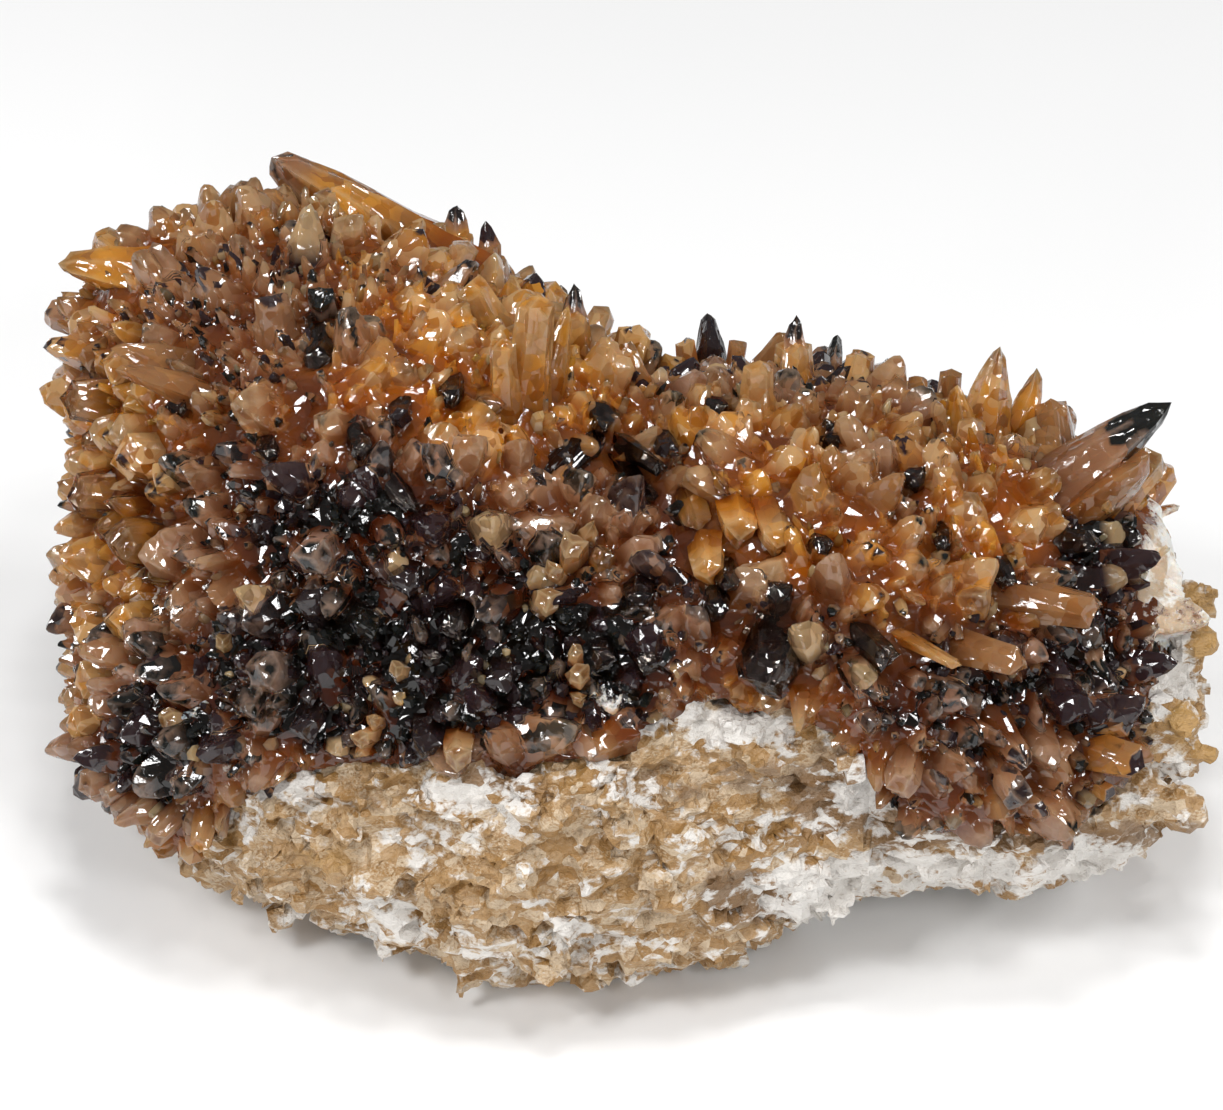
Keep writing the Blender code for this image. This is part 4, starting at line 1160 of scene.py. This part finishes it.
def add_filler_crystals(growth):
    shown = [surface_point(*foot, front_depth) for foot, *_ in SHOWN_CRYSTALS]
    draw = random.Random(FILLER_SEED)
    mound = mound_mesh(SOLID_SIDES, SOLID_FRONT_RINGS, SOLID_BACK_RINGS)
    for number, (foot, normal) in enumerate(spread_over(*mound, filler_spacing, DART_SEED)):
        if above_contact(foot) < LEAST_ABOVE_CONTACT:
            continue
        if any((foot - place).length < ELBOW_ROOM for place in shown):
            continue
        length = draw.uniform(*FILLER_LENGTH)
        if abs(normal.dot(NEAR)) < RIM_FACING:
            length *= RIM_SHORTENING
        axis = spray_axis(foot, normal, draw)
        roll = draw.uniform(0, 1)
        width = draw.uniform(*FILLER_WIDTH)
        form = draw.choice(("tooth", "tooth", "tooth", "stub"))
        tint = random.Random(f"filler_{number} tint").random()
        zones = zone(foot + axis * ZONE_REACH)
        growth.add(foot, axis, roll, length + FILLER_LIFT, width, form, tint, zones)


def form_collection(name, sizes, fine):
    """A collection of the forms that scattered crystals are picked from."""
    collection = bpy.data.collections.new(name)
    for n, (length, width, form) in enumerate(sizes):
        growth = Growth()
        growth.draw = random.Random(n)
        foot, axis, root = Vector(), Vector((0, 0, 1)), FORM_ROOT * width
        growth.add(foot, axis, 0, length, width, form, 0, (0, 0, 0, 0), root=root, fine=fine)
        obj = growth.object(f"{name}_{n}", calcite_finish)
        for attribute_name in ("smoke", "amber", "chalk", "tint"):
            obj.data.attributes.remove(obj.data.attributes[attribute_name])
        bpy.context.scene.collection.objects.unlink(obj)
        collection.objects.link(obj)
    return collection


def bristle_tree():
    """Crystals picked from a collection and stood on a surface, fanned out as its fan attribute says."""
    kinds = {
        "Forms": "NodeSocketCollection", "Spacing": "NodeSocketFloat", "Density": "NodeSocketFloat",
        "Smallest": "NodeSocketFloat", "Largest": "NodeSocketFloat", "Seed": "NodeSocketInt",
        "Material": "NodeSocketMaterial",
    }
    nodes, given, sink = geometry_tree("bristle", kinds)
    share = nodes.node("GeometryNodeInputNamedAttribute", {"data_type": "FLOAT"}, {"Name": "share"})
    points, normal = nodes.node(
        "GeometryNodeDistributePointsOnFaces", {"distribute_method": "POISSON"},
        {"Mesh": given["Geometry"], "Distance Min": given["Spacing"], "Density Max": given["Density"],
         "Density Factor": share, "Seed": given["Seed"]},
        output=("Points", "Normal"),
    )
    heading = nodes.node("GeometryNodeInputNamedAttribute", {"data_type": "FLOAT_VECTOR"}, {"Name": "fan"})
    jitter = random_value(nodes, "FLOAT_VECTOR", (-JITTER,) * 3, (JITTER,) * 3, given["Seed"])
    fanned = nodes.vector("ADD", normal, nodes.vector("SCALE", heading, FAN_WEIGHT))
    axis = nodes.vector("ADD", fanned, jitter)
    turn = nodes.node("FunctionNodeAlignRotationToVector", {"axis": "Z"}, {"Vector": axis})
    spin = nodes.node(
        "FunctionNodeAxisAngleToRotation", None,
        {"Axis": (0, 0, 1), "Angle": random_value(nodes, "FLOAT", 0.0, math.pi, given["Seed"])},
    )
    turn = nodes.node("FunctionNodeRotateRotation", {"rotation_space": "LOCAL"}, {0: turn, 1: spin})
    size = random_value(nodes, "FLOAT", given["Smallest"], given["Largest"], given["Seed"])
    picked = nodes.node(
        "GeometryNodeCollectionInfo", None,
        {"Collection": given["Forms"], "Separate Children": True, "Reset Children": True},
    )
    placed = nodes.node(
        "GeometryNodeInstanceOnPoints", None,
        {"Points": points, "Instance": picked, "Pick Instance": True, "Rotation": turn, "Scale": size},
    )
    tinted = nodes.node(
        "GeometryNodeStoreNamedAttribute", {"data_type": "FLOAT", "domain": "INSTANCE"},
        {"Geometry": placed, "Name": "tint", "Value": random_value(nodes, "FLOAT", 0.0, 1.0, given["Seed"])},
    )
    return dressed(nodes, given, sink, nodes.node("GeometryNodeRealizeInstances", None, {"Geometry": tinted}))


def random_value(nodes, kind, low, high, seed):
    """A random vector or number; the node has a pair of limits and an output for each kind."""
    number = ("FLOAT_VECTOR", "FLOAT").index(kind)
    inputs = {2 * number: low, 2 * number + 1: high, "Seed": seed}
    return nodes.node("FunctionNodeRandomValue", {"data_type": kind}, inputs, output=number)


def bristle(name, surface, sizes, forms, shares, fine=False):
    """Scatters crystals over a surface where it is clear of the matrix, more of them where shares is 1."""
    base = surface.copy()
    base.data = surface.data.copy()
    store(base.data, "share", shares)
    bpy.context.scene.collection.objects.link(base)
    trimmed = bmesh.new()
    trimmed.from_mesh(base.data)
    hidden = [f for f in trimmed.faces if above_contact(f.calc_center_median() / MM) < LEAST_FEET_ABOVE]
    bmesh.ops.delete(trimmed, geom=hidden, context="FACES")
    trimmed.to_mesh(base.data)
    trimmed.free()
    modifier = base.modifiers.new("Bristle", "NODES")
    modifier.node_group = BRISTLE
    picked = form_collection(name + "_forms", forms, fine)
    set_inputs(modifier, {"Forms": picked, "Material": calcite_finish, **sizes})
    made = made_plain(base, name)
    for form in list(picked.objects):
        bpy.data.objects.remove(form)
    bpy.data.collections.remove(picked)
    return made


BRISTLE = bristle_tree()


def joined(name, pieces):
    """The meshes of several objects in one, with the attributes that they carry."""
    points, faces, values = [], [], {attribute: [] for attribute in CARRIED}
    for piece in pieces:
        mesh, start = piece.data, len(points)
        points += [v.co / MM for v in mesh.vertices]
        faces += [tuple(start + i for i in p.vertices) for p in mesh.polygons]
        for attribute, column in values.items():
            layer = mesh.attributes.get(attribute)
            column += [d.value for d in layer.data] if layer else [0.0] * len(mesh.vertices)
    obj = mesh_object(name, points, faces)
    for attribute, column in values.items():
        store(obj.data, attribute, column)
    return obj


def sampling_tree():
    """Gives a remeshed skin the values of the nearest place on the meshes that it was made of."""
    kinds = {"Source": "NodeSocketObject", "Material": "NodeSocketMaterial"}
    nodes, given, sink = geometry_tree("skin", kinds)
    source = nodes.node("GeometryNodeObjectInfo", None, {"Object": given["Source"]}, output="Geometry")
    skin, number = given["Geometry"], {"data_type": "FLOAT"}
    for attribute in CARRIED:
        value = nodes.node("GeometryNodeInputNamedAttribute", number, {"Name": attribute})
        found = nodes.node("GeometryNodeSampleNearestSurface", number, {"Mesh": source, "Value": value})
        inputs = {"Geometry": skin, "Name": attribute, "Value": found}
        skin = nodes.node("GeometryNodeStoreNamedAttribute", {**number, "domain": "POINT"}, inputs)
    return dressed(nodes, given, sink, skin)


def fused(name, source, grain):
    """One skin over the meshes of an object, which is removed."""
    skin = source.copy()
    bpy.context.scene.collection.objects.link(skin)
    regrain = skin.modifiers.new("Skin", "REMESH")
    regrain.mode, regrain.voxel_size = "VOXEL", grain
    facets = skin.modifiers.new("Facets", "DECIMATE")
    facets.ratio = FACET_SHARE
    sampling = skin.modifiers.new("Values", "NODES")
    sampling.node_group = sampling_tree()
    set_inputs(sampling, {"Source": source, "Material": calcite_finish})
    made = made_plain(skin, name)
    made.data.validate()
    bpy.data.objects.remove(source)
    return made


fillers = Growth()
add_filler_crystals(fillers)
filler_crystals = fillers.object("filler_crystals", calcite_finish)
middling_shares, blade_shares, small_shares = [], [], []
for p, (smoke, _, blades, chalk) in zip(crust_places, crust_zones):
    bare = smooth_step((p.x - BARE_END) / BARE_END_FADE) * (chalk > BARE_CHALK)
    free = smooth_step((room(p) + ROOM_NEEDED) / ROOM_NEEDED) * (1 - bare)
    middling_shares.append(free * (1 - BLADE_CROWDING * blades))
    blade_shares.append(free * max(blades, STRAY_BLADES - STRAY_BLADES_SMOKED * smoke))
    small_shares.append(free * (FEWEST_SMALL + smoke))
middling_crystals = bristle("middling_crystals", crust, MIDDLING, MIDDLING_FORMS, middling_shares, fine=True)
blade_crystals = bristle("blade_crystals", crust, BLADES, BLADE_FORMS, blade_shares)
mass_form = joined("mass_form", (crust, filler_crystals, middling_crystals, blade_crystals))
crystal_mass = fused("crystal_mass", mass_form, SKIN_GRAIN)
for used in (filler_crystals, middling_crystals, blade_crystals):
    bpy.data.objects.remove(used)


# Small crisp crystals, 1 to 3 mm across, sit in the creases and on the smoky ground, fanned out as the
# large ones are, with their feet sunk in the skin below them.

SMALL = {"Spacing": 1.7 * MM, "Density": 250000.0, "Smallest": 0.5, "Largest": 1.2, "Seed": 5}
SMALL_FORMS = [
    (2.4, 2.4, "stub"), (2.0, 2.8, "stub"), (1.6, 2.6, "stub"), (3.0, 1.8, "tooth"), (2.6, 2.6, "lath"),
    (2.2, 3.0, "stub"), (2.8, 2.1, "stub"),
]
small_crystals = bristle("small_crystals", crust, SMALL, SMALL_FORMS, small_shares)
bpy.data.objects.remove(crust)

for piece in (crystal_mass, large_crystals, clear_overgrowths, small_crystals):
    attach(piece, "root")
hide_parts("calcite_crystals")


# The specimen lies on a pale table top in soft light. Small bright panels stand for the window panes
# that glint on the crystals' faces.

TABLE_WIDTH, TABLE_COLOUR = 6, (0.85, 0.85, 0.85, 1)
SOFT_LIGHT, WHITE = 0.16, (1, 1, 1, 1)

bpy.ops.mesh.primitive_plane_add(size=TABLE_WIDTH)
table_top = bpy.context.object
table_top.name = "table_top"
table_finish = Finish("Pale table top", Base_Color=TABLE_COLOUR, Roughness=0.9)
table_top.data.materials.append(table_finish.material)

world = bpy.data.worlds.new("Soft light")
bpy.context.scene.world = world
world.use_nodes = True
world.node_tree.nodes["Background"].inputs["Color"].default_value = WHITE
world.node_tree.nodes["Background"].inputs["Strength"].default_value = SOFT_LIGHT

# Middle in metres, then width, height and power of a pane.
WINDOWS = [
    ((-0.45, -0.50, 0.75), 0.09, 0.08, 0.85),
    ((0.35, -0.75, 0.70), 0.07, 0.07, 0.50),
    ((0.0, -0.05, 1.0), 0.09, 0.08, 0.85),
    ((0.75, 0.0, 0.60), 0.07, 0.08, 0.55),
    ((-0.75, 0.15, 0.50), 0.07, 0.08, 0.55),
    ((-0.1, -1.0, 0.35), 0.06, 0.06, 0.35),
    ((-0.85, -0.6, 0.25), 0.06, 0.06, 0.30),
    ((0.8, -0.6, 0.30), 0.06, 0.06, 0.30),
    ((0.25, -0.35, 0.95), 0.06, 0.06, 0.40),
]
PANE_GAP = 0.02
LIT_MIDDLE = Vector((0, 0, 0.05))
for place, width, height, power in WINDOWS:
    facing_middle = (LIT_MIDDLE - Vector(place)).to_track_quat("-Z", "Y")
    for column, row in ((-1, -1), (1, -1), (-1, 1), (1, 1)):
        lamp = bpy.data.lights.new("window_pane", "AREA")
        lamp.shape, lamp.size, lamp.size_y, lamp.energy = "RECTANGLE", width, height, power
        pane = bpy.data.objects.new("window_pane", lamp)
        offset = Vector((column * (width + PANE_GAP) / 2, row * (height + PANE_GAP) / 2, 0))
        pane.location = Vector(place) + facing_middle @ offset
        pane.rotation_euler = facing_middle.to_euler()
        bpy.context.scene.collection.objects.link(pane)

IMAGE_WIDTH_PX, IMAGE_HEIGHT_PX, MM_PER_PIXEL = 1223, 1110, 0.16
PICTURE_CENTRE_PX = (640, 560)
SENSOR_WIDTH = 36
camera = bpy.data.cameras.new("camera")
camera_object = bpy.data.objects.new("camera", camera)
bpy.context.scene.collection.objects.link(camera_object)
aim = Matrix((RIGHT, UP, NEAR)).transposed().to_4x4()
aim.translation = (PICTURE_CENTRE + NEAR * EYE_DISTANCE) * MM
camera_object.matrix_world = aim
camera.sensor_width = SENSOR_WIDTH
camera.lens = camera.sensor_width * EYE_DISTANCE / (IMAGE_WIDTH_PX * MM_PER_PIXEL)
camera.shift_x = (IMAGE_WIDTH_PX / 2 - PICTURE_CENTRE_PX[0]) / IMAGE_WIDTH_PX
camera.shift_y = (PICTURE_CENTRE_PX[1] - IMAGE_HEIGHT_PX / 2) / IMAGE_WIDTH_PX
bpy.context.scene.camera = camera_object
bpy.context.scene.view_settings.view_transform = "Standard"
